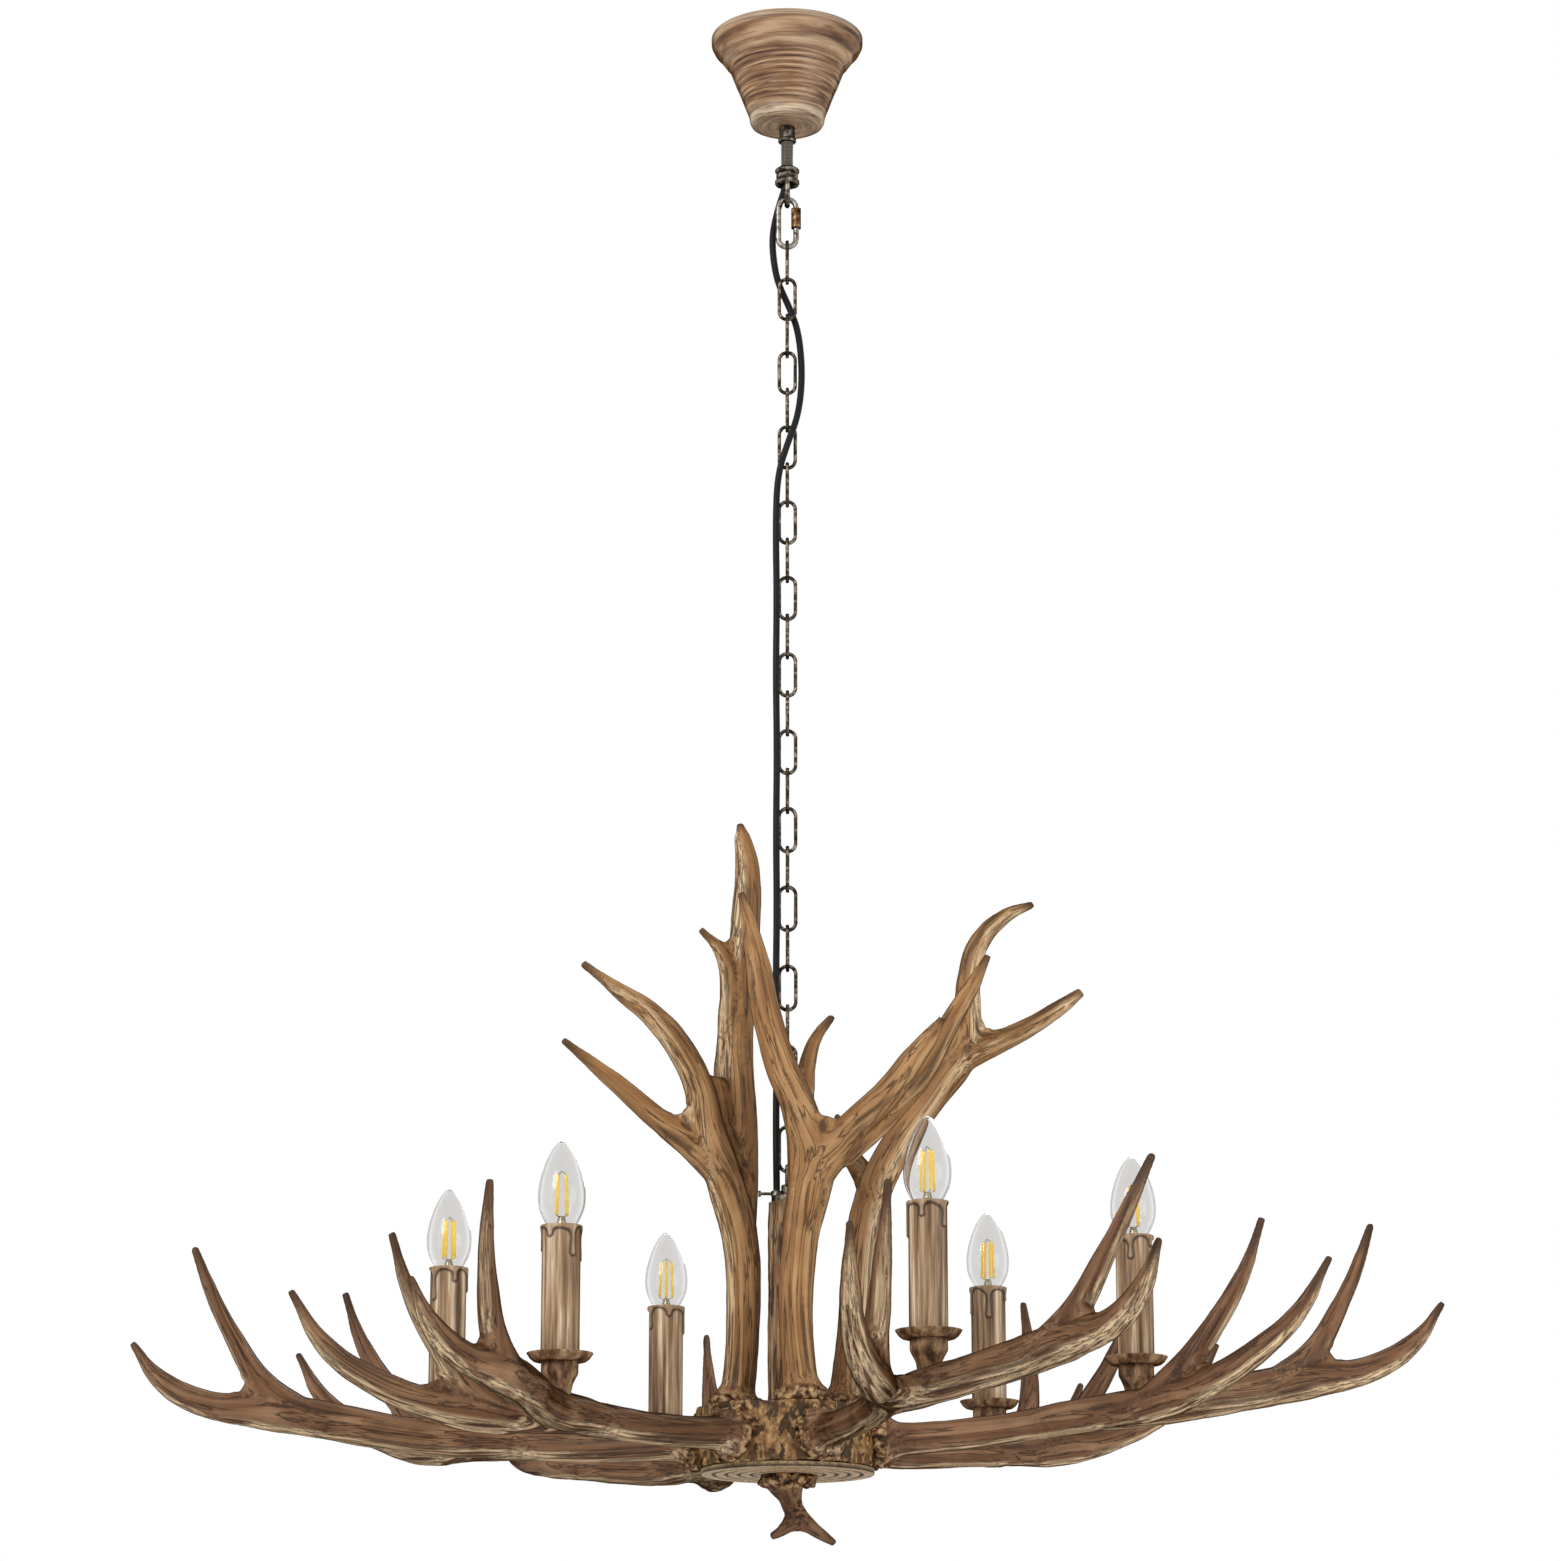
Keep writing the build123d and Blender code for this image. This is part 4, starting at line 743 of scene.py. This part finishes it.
def lifted(mesh, lift):
    """Copy of the arm's mesh raised or drooped from its burr outwards."""
    copy = mesh.copy()
    spots = places(copy)
    past = np.maximum(spots[:, 0] - ARM_SEAT - LIFT_START, 0)
    spots[:, 2] += lift * MM * past / (CANDLE_REACH - LIFT_START)
    move_to(copy, spots)
    return copy


def set_antlers():
    arm = antler_mesh("arm", ARM_STROKES, (ARM_SEAT, 0, ARM_HEIGHT), 3, (0, 0, -0.75))
    for k in ARMS:
        mesh = lifted(arm, ARM_LIFTS[k - 1])
        mesh.transform(Matrix.Rotation(ARM_TURNS[k - 1], 4, "Z"))
        dress(f"arm_casting_{k}", mesh, "lamp", [ARM_PAINT], f"arm_antler_{k}")
    hub = (0, 0, HUB_TOP)
    for side, strokes, seed, pale_side, palm in (
            ("left", LEFT_UPRIGHT, 5, (-0.8, -0.2, 0), 2),
            ("front", FRONT_UPRIGHT, 7, (0.8, 0, 0), None),
            ("back", BACK_UPRIGHT, 11, (0.8, -0.4, 0), None)):
        mesh = antler_mesh(side, strokes, hub, seed, pale_side, palm)
        dress(f"upright_casting_{side}", mesh, "lamp", [UPRIGHT_PAINT],
              f"upright_antler_{side}")
    mesh = antler_mesh("finial", FINIAL, (0, 0, DISC_FOOT), 13, (0, 0, -0.4))
    dress("finial_casting", mesh, "lamp", [ARM_PAINT], "finial_antler")


# ---- hub and column
DISC_RINGS = (56.5, 47, 37.5, 28, 18.5)
RING_DEPTH = 1.2            # both in millimetres


def set_hub():
    height = (HUB_TOP - HUB_FOOT) / MM
    side = between((DRUM_R / MM, height - 2), (DRUM_R / MM, 2), 26)
    profile = [(5.2, height), *between((20, height), (66, height), 8), (68.2, height - 0.6), *side,
               (68.2, 0.6), (60, 0), (5.2, 0)]
    mesh = turned("drum", profile, HUB_FOOT, 220)
    height = roughen(mesh, 1.5 * MM, 75, (1, 1, 0.7), 4)
    depth = (HUB_TOP - places(mesh)[:, 2]) / MM
    paint(mesh, "groove", np.clip(-2.2 * height - 0.3, 0, 1))
    paint(mesh, "ridge", (1 - ease(5, 11, depth)) * ease(1, 3, depth) + ease(34, 40, depth))
    dress("hub_bark", mesh, "lamp", [DRUM_BARK], "hub_drum")

    under = [(5.2, 4), (66, 4), (66, 0.6), (65.4, 0)]
    for radius in DISC_RINGS:
        under += [(radius + 1.9, 0), (radius + 1.1, RING_DEPTH)]
        under += [(radius - 1.1, RING_DEPTH), (radius - 1.9, 0)]
    under.append((5.2, 0))
    mesh = turned("disc", under, DISC_FOOT, 120)
    rise = (places(mesh)[:, 2] - DISC_FOOT) / MM
    paint(mesh, "groove", (rise > 0.5) & (rise < 2))
    dress("hub_rings", mesh, "lamp", [DISC_PAINT], "hub_disc")


EYE_R = 8 * MM
EYE_WIRE = 2 * MM


def set_column():
    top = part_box("column_tube")[HIGH][2]
    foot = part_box("column_tube")[LOW][2]
    height = (top - foot) / MM
    wall = between((15, height - 0.8), (15, 0), 60)
    profile = [(13, 0), (13, height), (14.2, height), *wall]
    mesh = turned("column", profile, foot, 96)
    height = roughen(mesh, 1.0 * MM, 230, (1, 1, 0.14), 3)
    paint(mesh, "groove", np.clip(-2.4 * height - 0.2, 0, 1))
    dress("column_bark", mesh, "lamp", [COLUMN_BARK], "column_tube")

    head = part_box("column_head")
    bm = lathe(in_mm([(0.01, 13.5), (4.2, 13.5), (5, 12.7), (5, 5.4), (5.6, 4.7), (11.8, 4.7), (12.5, 4),
                      (12.5, 0), (12.4, -0.2), (0.01, -0.2)], top), 48)
    gland = in_mm([(3.2, 0), (3.2, 3.6), (3.6, 4), (4.1, 4), (4.4, 3.6), (4.4, 0)], top + 4.7 * MM)
    lathe(gland, 24, bm, (-8.5 * MM, 0, 0))
    ring(bm, EYE_R, EYE_WIRE, (0, 0, head[HIGH][2] - EYE_R - EYE_WIRE), "X")
    dress("column_eye", mesh_of(bm, "column_eye"), "lamp", [AGED_METAL], "column_head")


def ring(bm, radius, wire, centre, axis, stretch=0.0, sides=12, steps=28):
    """Ring of round wire, of a wire radius, about X or Y, each half drawn out along Z by stretch."""
    side = Vector((0, 1, 0)) if axis == "X" else Vector((1, 0, 0))
    start = side * radius
    half = Matrix.Rotation(math.pi / steps, 4, axis)
    circle = bmesh.ops.create_circle(
        bm, segments=sides, radius=wire, matrix=half @ Matrix.Translation(start))
    seam = list({edge for vert in circle["verts"] for edge in vert.link_edges})
    before = set(bm.verts) - set(circle["verts"])
    bmesh.ops.spin(
        bm, geom=circle["verts"] + seam, cent=(0, 0, 0), axis=(1, 0, 0) if axis == "X" else (0, 1, 0),
        dvec=(0, 0, 0), angle=2 * math.pi, steps=steps, use_merge=True, use_duplicate=False)
    for vert in set(bm.verts) - before:
        vert.co.z += math.copysign(stretch, vert.co.z)
        vert.co += Vector(centre)


# ---- ceiling fitting and chain
def set_canopy():
    profile = [
        (5.4, -78), (22, -78), (26.5, -77.6), (29.2, -76.2), (30.6, -73.6), (31, -71), (31.2, -69.5),
        *between((31.6, -68), (40.2, -45), 6), *between((41.6, -42), (47, -27.5), 4), (47.8, -25.6),
        (49.4, -23.6), (51.4, -21.2), (53.6, -18), (56.4, -14), (59, -11), (60.4, -9.6), (60.9, -8.4),
        (61.6, -7), (62.3, -5.6), (62.5, -4), (62.5, -0.4), (62.1, 0), (61.3, 0), (61.3, -5),
        (57.8, -10), (46.8, -25), (29.8, -72), (25, -76.8), (5.4, -76.8), (5.4, -78),
    ]
    mesh = turned("canopy", profile, 0, 128, 50)
    height = places(mesh)[:, 2] / MM
    # ridge: bands at the lip, the waist and the foot, where the canopy paint puts painted highlight rings.
    paint(mesh, "ridge", np.exp(-((height + 2) / 2.5) ** 2) + np.exp(-((height + 73) / 4) ** 2)
          + 0.3 * np.exp(-((height + 21) / 3) ** 2))
    dress("canopy_cover", mesh, "canopy", [CANOPY_PAINT], "canopy_bell")


LOOP_R = 8 * MM
LOOP_WIRE = 2.25 * MM
LOOP_DROP = 24.5 * MM       # from the loop head's top to the middle of its loop
LOOP_LEGS = 11 * MM


def set_stem():
    profile = [(5.06, 13.5), (5.8, 13.5), (6.4, 13), (6.4, 3.6), (7, 3.2), (7.4, 2.6), (7.4, 0.9),
               (6.9, 0.2), (5.06, 0), (5.06, 13.5)]
    mesh = turned("collar", profile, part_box("lock_collar")[LOW][2], 48)
    dress("collar_turned", mesh, "collar", [AGED_METAL], "lock_collar")

    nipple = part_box("threaded_nipple")
    length = (nipple[HIGH][2] - nipple[LOW][2]) / MM
    profile = [(3.75, length), (4.6, length), (5, length - 0.5), (5, 0), (3.75, 0), (3.75, length)]
    mesh = turned("nipple", profile, nipple[LOW][2], 40)
    dress("nipple_threaded", mesh, "ceiling", [PIPE_THREAD], "threaded_nipple")

    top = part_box("top_yoke")[HIGH][2]
    profile = [
        (5.1, 0), (7.2, 0), (7.6, -0.5), (9.4, -1.6), (10, -2.4), (10, -3.6), (9.3, -4.4), (7.8, -5),
        (8.6, -6), (9, -6.8), (9, -8.2), (8.5, -9), (7.7, -10), (9.3, -11), (10, -12), (10, -14.2),
        (9.6, -15), (5.6, -15), (3.9, -7.6), (5.1, -7.5), (5.1, 0),
    ]
    bm = lathe(in_mm(profile, top), 56)
    loop = bmesh.new()
    ring(loop, LOOP_R, LOOP_WIRE, (0, 0, top - LOOP_DROP), "X")
    cut_loop(loop, top - LOOP_DROP, LOOP_LEGS)
    merge_into(bm, loop)
    dress("loop_head", mesh_of(bm, "loop_head"), "ceiling", [AGED_METAL], "top_yoke")


def bevel(bm, edges, size):
    bmesh.ops.bevel(
        bm, geom=edges, offset=size, segments=2, profile=0.5, affect="EDGES", material=-1)


def merge_into(bm, other):
    """Add another bmesh to a bmesh."""
    mesh = bpy.data.meshes.new("part")
    other.to_mesh(mesh)
    other.free()
    bm.from_mesh(mesh)
    bpy.data.meshes.remove(mesh)


def cut_loop(bm, height, legs):
    """Keep the lower half of a ring and draw its two ends up into legs."""
    geometry = bm.verts[:] + bm.edges[:] + bm.faces[:]
    cut = bmesh.ops.bisect_plane(
        bm, geom=geometry, plane_co=(0, 0, height), plane_no=(0, 0, 1), clear_outer=True)
    rims = [item for item in cut["geom_cut"] if isinstance(item, bmesh.types.BMEdge)]
    drawn = bmesh.ops.extrude_edge_only(bm, edges=rims)["geom"]
    ends = [item for item in drawn if isinstance(item, bmesh.types.BMVert)]
    bmesh.ops.translate(bm, verts=ends, vec=(0, 0, legs))
    bmesh.ops.holes_fill(bm, edges=bm.edges)


QUICK_R = 7.25 * MM
QUICK_WIRE = 2.25 * MM
QUICK_STRETCH = 13.5 * MM
SLOT_DROP = 11.4 * MM       # from the quick link's top to its opening
SLOT_LENGTH = 9 * MM
SLEEVE_R = 4.6 * MM


def set_quick_link():
    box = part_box("quick_link")
    middle = (box[LOW][2] + box[HIGH][2]) / 2
    bm = bmesh.new()
    ring(bm, QUICK_R, QUICK_WIRE, (0, 0, middle), "Y", QUICK_STRETCH, 16, 36)
    gap_top = box[HIGH][2] - SLOT_DROP
    gap_foot = gap_top - SLOT_LENGTH
    for height in (gap_top, gap_foot):
        right = [face for face in bm.faces if face.calc_center_median().x > 0]
        parts = {item for face in right for item in (*face.verts, *face.edges)}
        bmesh.ops.bisect_plane(bm, geom=[*parts, *right], plane_co=(0, 0, height), plane_no=(0, 0, 1))
    inside = [face for face in bm.faces
              if face.calc_center_median().x > 0 and gap_foot < face.calc_center_median().z < gap_top]
    bmesh.ops.delete(bm, geom=inside, context="FACES")
    bmesh.ops.holes_fill(bm, edges=bm.edges)
    dress("quick_link_wire", mesh_of(bm, "quick_link"), "quick_link", [BRIGHT_STEEL],
          "quick_link")

    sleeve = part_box("quick_link_sleeve")
    length = sleeve[HIGH][2] - sleeve[LOW][2]
    bm = bmesh.new()
    bmesh.ops.create_cone(bm, segments=6, radius1=SLEEVE_R, radius2=SLEEVE_R, depth=length, cap_ends=True,
                          matrix=Matrix.Translation((QUICK_R, 0, sleeve[LOW][2] + length / 2)))
    ends = [face for face in bm.faces if abs(face.normal.z) > 0.9]
    bmesh.ops.inset_region(bm, faces=ends, thickness=2.0 * MM)
    bevel(bm, [edge for edge in bm.edges if not edge.is_boundary], 0.35 * MM)
    dress("quick_link_nut", mesh_of(bm, "quick_link_nut", 30), "link_sleeve",
          [SLEEVE_BRONZE], "quick_link_sleeve")


LINKS = 24
LINK_FIRST = -196.95 * MM   # height of the uppermost link's middle
LINK_PITCH = 31.85 * MM
LINK_R = 6.5 * MM
LINK_WIRE = 1.5 * MM
LINK_STRETCH = 11 * MM


def set_chain():
    for name, first, axis in (("edge_on", 0, "X"), ("face_on", 1, "Y")):
        bm = bmesh.new()
        for k in range(first, LINKS, 2):
            middle = (0, 0, LINK_FIRST - LINK_PITCH * k)
            ring(bm, LINK_R, LINK_WIRE, middle, axis, LINK_STRETCH, 10, 24)
        mesh = mesh_of(bm, f"chain_{name}")
        roughen(mesh, 0.14 * MM, 330, (1, 1, 1), 2)
        dress(f"chain_hammered_{name}", mesh, "chain", [CHAIN_METAL], f"chain_links_{name}")


# ---- candles
CANDLE_R = 14               # this and the next three in millimetres
# Drips of wax: angle round the candle in degrees, length and half width.
DRIPS = ((22, 26, 2.1), (94, 12, 1.8), (166, 19, 2.0), (238, 9, 1.8), (310, 23, 2.1))
WAX_COLLAR = 2.6
WAX_WEB = 7.0               # rounding between the collar and a drip
WAX_DEPTH = 1.4 * MM


def soft_union(first, second, width):
    """Smaller of two distances, with the corner between them filled in."""
    blend = np.clip(0.5 + 0.5 * (second - first) / width, 0, 1)
    return second + (first - second) * blend - width * blend * (1 - blend)


def sleeve_mesh():
    """Candle tube whose top has a wax collar and drips."""
    wall = between((CANDLE_R, 0), (CANDLE_R, 96.2), 120)
    profile = [(12.6, 0), *wall, (13.6, 97), (13, 97), (12.8, 96.4), *between((12.8, 95), (12.8, 60), 4)]
    mesh = turned("sleeve", profile, PAN_HEIGHT, 112, 70)
    spots = places(mesh)
    depth = (SLEEVE_TOP - spots[:, 2]) / MM
    turn = np.arctan2(spots[:, 1], spots[:, 0])
    wave = 0.9 * np.sin(3 * turn) + 0.6 * np.sin(5 * turn + 1)
    gap = depth - WAX_COLLAR - wave
    for degrees, length, half in DRIPS:
        aside = CANDLE_R * ((turn - math.radians(degrees) + math.pi) % (2 * math.pi) - math.pi)
        low = length - half
        width = half * (0.6 + 0.4 * ease(0.45 * length, length, depth))
        drop = np.hypot(aside, np.maximum(depth - low, 0)) - width
        gap = soft_union(gap, drop, WAX_WEB)
    outer = np.hypot(spots[:, 0], spots[:, 1]) > (CANDLE_R - 0.7) * MM
    wax = (1 - ease(-1.1, 0.35, gap)) * outer
    radial = spots * np.array([1, 1, 0])
    radial /= np.maximum(np.linalg.norm(radial, axis=1)[:, None], 1e-6)
    move_to(mesh, spots + radial * (wax * WAX_DEPTH)[:, None])
    paint(mesh, "wax", wax)
    paint(mesh, "edge", np.exp(-((gap - 0.4) / 0.75) ** 2) * outer)
    return mesh


def smooth_profile(points):
    """Smooth line through (radius, height) points."""
    line = baked(curve_data([[(r, 0, z, 1) for r, z in points]], thick=False))
    return [(r, z) for r, _, z in places(line)]


def glass_mesh():
    """Candle-shaped bulb glass with a thin wall."""
    outside = in_mm([(9, -5), (10.2, -1), (13.2, 4.5), (16.2, 11.5), (17.45, 20), (16.7, 30), (14.2, 40),
                     (10.4, 50), (5.6, 58), (2.2, 61.4), (0.01, 62)], SLEEVE_TOP)
    outside = smooth_profile(outside)
    inside = [(max(r - 0.7 * MM, 0.01 * MM), z - (0.8 * MM if r < 3 * MM else 0)) for r, z in outside]
    return mesh_of(lathe(outside + inside[::-1] + outside[:1], 56), "glass", 80)


def rod(bm, start, end, radius, sides=8):
    """Round rod with softened ends between two places."""
    start, end = Vector(start), Vector(end)
    along = end - start
    place = Matrix.Translation((start + end) / 2) @ along.to_track_quat("Z", "Y").to_matrix().to_4x4()
    made = bmesh.ops.create_cone(bm, segments=sides, radius1=radius, radius2=radius, depth=along.length,
                                 cap_ends=True, matrix=place)
    caps = [face for face in {f for v in made["verts"] for f in v.link_faces} if len(face.verts) == sides]
    rims = list({edge for face in caps for edge in face.edges})
    bevel(bm, rims, radius * 0.4)


FILAMENTS = 4
FILAMENT_R = 1.1 * MM
LEAD_R = 0.25 * MM


def core_mesh():
    """Screw cap, glass stem with lead wires, and four upright filaments."""
    foot = SLEEVE_TOP - 5 * MM
    thread = []
    for k in range(7):
        thread += [(6.4, -18 + 2.4 * k), (7, -17 + 2.4 * k), (7, -16.4 + 2.4 * k)]
    cap = [(0.01, -22), (2.4, -22), (3, -20.6), (5.8, -19.6), *thread, (7, -1.6), (9, -1.6), (9, 0), (4, 0),
           (3.2, 1.2), (3.2, 8), (2.6, 11), (1.6, 12), (0.01, 12)]
    bm = lathe(in_mm(cap, foot), 32)
    base = foot + 11 * MM
    filaments = bmesh.new()
    for k in range(FILAMENTS):
        turn = Matrix.Rotation(2 * math.pi / FILAMENTS * (k + 0.5), 3, "Z")
        low = turn @ Vector((5.4 * MM, 0, 2 * MM)) + Vector((0, 0, base))
        high = turn @ Vector((4.2 * MM, 0, 31 * MM)) + Vector((0, 0, base))
        rod(filaments, low, high, FILAMENT_R)
        rod(bm, turn @ Vector((1.2 * MM, 0, 0)) + Vector((0, 0, base)), low, LEAD_R, 6)
        rod(bm, high, Vector((0, 0, high.z + 3 * MM)), LEAD_R, 6)
    for face in filaments.faces:
        face.material_index = 1
    merge_into(bm, filaments)
    return mesh_of(bm, "core")


def set_candles():
    pan = turned("pan", [
        (0.01, -1.4), (17, -1.4), (19.2, -0.9), (21.6, 1), (23.2, 3.4), (24, 4.6), (23.9, 5), (23.2, 5),
        (22.4, 4.2), (20.8, 2.2), (18.6, 0.5), (16.6, 0), (0.01, 0)], PAN_HEIGHT, 72, 60)
    cup = turned("cup", [
        (0.01, 0), (8, 0), *between((8.2, 0.6), (9.4, 7), 4), *between((10.2, 9), (13.2, 15), 4),
        (13.5, 16.4), (13.5, 22.8), (13.2, 23.5), (0.01, 23.6)], ARM_HEIGHT + 20 * MM, 64, 50)
    groove = roughen(cup, 0.35 * MM, 260, (1, 1, 0.3), 3)
    paint(cup, "groove", np.clip(-2 * groove, 0, 1))
    paint(pan, "groove", np.zeros(len(pan.vertices)))
    sleeve, glass, core = sleeve_mesh(), glass_mesh(), core_mesh()
    cups = bmesh.new()
    for k in ARMS:
        spin = 1.7 * k
        cups.from_mesh(at_candle(cup, k, spin))
        dress(f"pan_{k}", at_candle(pan, k), "lamp", [PAN_PAINT], f"drip_pan_{k}")
        dress(f"candle_{k}", at_candle(sleeve, k, spin), "lamp", [CANDLE_PAINT],
              f"candle_sleeve_{k}")
        dress(f"bulb_{k}_glass", at_candle(glass, k), f"bulb_{k}", [BULB_GLASS],
              f"bulb_glass_{k}")
        dress(f"bulb_{k}_core", at_candle(core, k, spin), f"bulb_{k}", [CAP_METAL, FILAMENT],
              f"bulb_core_{k}")
    dress("cups_tapered", raw_mesh(cups, "cups"), "lamp", [PAN_PAINT], "candle_cups")


# ---- finishes of the solids that stay
def finish_solids():
    for material, nodes in (
            (PLATED_STEEL, ("ceiling_bracket", "bracket_nuts", "centre_pipe", "pipe_nuts", "antler_bolts")),
            (BLOCK_PLASTIC, ("terminal_block",)), (AGED_METAL, ("clamp_screws",)),
            (HOLDER_PLASTIC, ("lamp_holders",))):
        for node in nodes:
            for slot in bpy.data.objects[node].material_slots:
                slot.material = material


# ---- camera, light and floor
def set_camera():
    data = bpy.data.cameras.new("camera")
    data.lens = 101.47
    data.sensor_width = 36
    data.clip_end = 50
    camera = placed("camera", data)
    camera.location = (-0.0059, -3.366, -1.523)
    camera.rotation_euler = (math.radians(104.79), 0, 0)
    bpy.context.scene.camera = camera


def area_light(name, place, target, size, power):
    data = bpy.data.lights.new(name, "AREA")
    data.shape = "DISK"
    data.size = size
    data.energy = power
    light = placed(name, data)
    light.location = place
    light.rotation_euler = (Vector(target) - Vector(place)).to_track_quat("-Z", "Y").to_euler()


def set_light():
    scene = bpy.context.scene
    scene.view_settings.view_transform = "Standard"
    scene.world = bpy.data.worlds.new("studio")
    nodes = Nodes(scene.world)
    path = nodes.add("ShaderNodeLightPath").outputs
    seen = nodes.highest(path["Is Camera Ray"], path["Is Glossy Ray"], path["Is Transmission Ray"])
    soft, white = (nodes.add("ShaderNodeBackground", {"Color": (1, 1, 1, 1), "Strength": strength}).outputs[0]
                   for strength in (0.5, 1.0))
    shade = nodes.add("ShaderNodeMixShader", {0: seen, 1: soft, 2: white}).outputs[0]
    nodes.add("ShaderNodeOutputWorld", {"Surface": shade})
    middle = (0, 0, -0.95)
    area_light("key", (-1.9, -2.6, 0.6), middle, 1.6, 62)
    area_light("fill", (2.4, -2.0, -0.9), middle, 2.0, 30)
    area_light("rim", (0.6, 2.6, 0.5), middle, 1.8, 40)


def set_floor():
    bm = bmesh.new()
    bmesh.ops.create_grid(bm, x_segments=2, y_segments=2, size=6, matrix=Matrix.Translation((0, 0, -2.4)))
    floor = placed("floor", mesh_of(bm, "floor"))
    p = Paint("floor_pale", Roughness=0.8)
    cloud = p.mottle(p.place(), 3, 0.3, 0.7, 3)
    p.set("Base Color", p.ramp(cloud, [(0.82, 0.82, 0.82, 1), (0.86, 0.86, 0.86, 1)]))
    floor.data.materials.append(p.material)


# ---- build
ARM_PAINT = antler_material(
    "arm_resin_paint", (58, 34, 20), (124, 88, 60), (180, 142, 108), (96, 62, 40))
UPRIGHT_PAINT = antler_material(
    "upright_resin_paint", (94, 58, 30), (170, 126, 80), (214, 174, 126), (132, 90, 52))
CANOPY_PAINT = canopy_material()
DRUM_BARK = drum_material()
COLUMN_BARK = bark_material(
    "column_bark_paint", (1, 1, 0.1), (42, 22, 10), (120, 86, 54), (190, 158, 120), 170, 0.9)
PAN_PAINT = bark_material(
    "pan_streaked_paint", (1, 1, 0.4), (62, 36, 18), (122, 88, 58), (184, 150, 112), 120, 0.4)
DISC_PAINT = disc_material()
CANDLE_PAINT = candle_material()
CHAIN_METAL = worn_metal(
    "chain_aged_metal", (12, 10, 8), (66, 58, 48), (164, 152, 134), 300, (0.3, 0.5), 0.0003)
AGED_METAL = worn_metal(
    "aged_grey_metal", (20, 16, 12), (84, 76, 66), (176, 166, 152), 190, (0.3, 0.5))
SLEEVE_BRONZE = worn_metal(
    "sleeve_bronze", (26, 16, 8), (104, 76, 50), (190, 162, 128), 190, (0.3, 0.45))
BRIGHT_STEEL = worn_metal(
    "bright_link_steel", (60, 54, 46), (140, 134, 126), (206, 202, 196), 190, (0.2, 0.36))
PLATED_STEEL = worn_metal(
    "zinc_plated_steel", (120, 120, 116), (160, 160, 156), (196, 196, 192), 90, (0.3, 0.5))
PIPE_THREAD = threaded_metal()
CABLE_SHEATH = plain_plastic("cable_black_sheath", (4, 4, 4), (12, 12, 12), (0.45, 0.6))
BLOCK_PLASTIC = plain_plastic("terminal_white_plastic", (222, 220, 210), (236, 234, 226), (0.4, 0.5))
HOLDER_PLASTIC = plain_plastic("holder_dark_plastic", (30, 26, 22), (46, 40, 34), (0.45, 0.6))
BULB_GLASS = glass_material()
FILAMENT = filament_material()
CAP_METAL = worn_metal(
    "bulb_cap_metal", (150, 142, 120), (184, 176, 156), (212, 206, 190), 300, (0.25, 0.4))

set_camera()
set_light()
set_floor()
lay_cable()
set_canopy()
set_stem()
set_quick_link()
set_chain()
set_column()
set_hub()
set_antlers()
set_candles()
finish_solids()
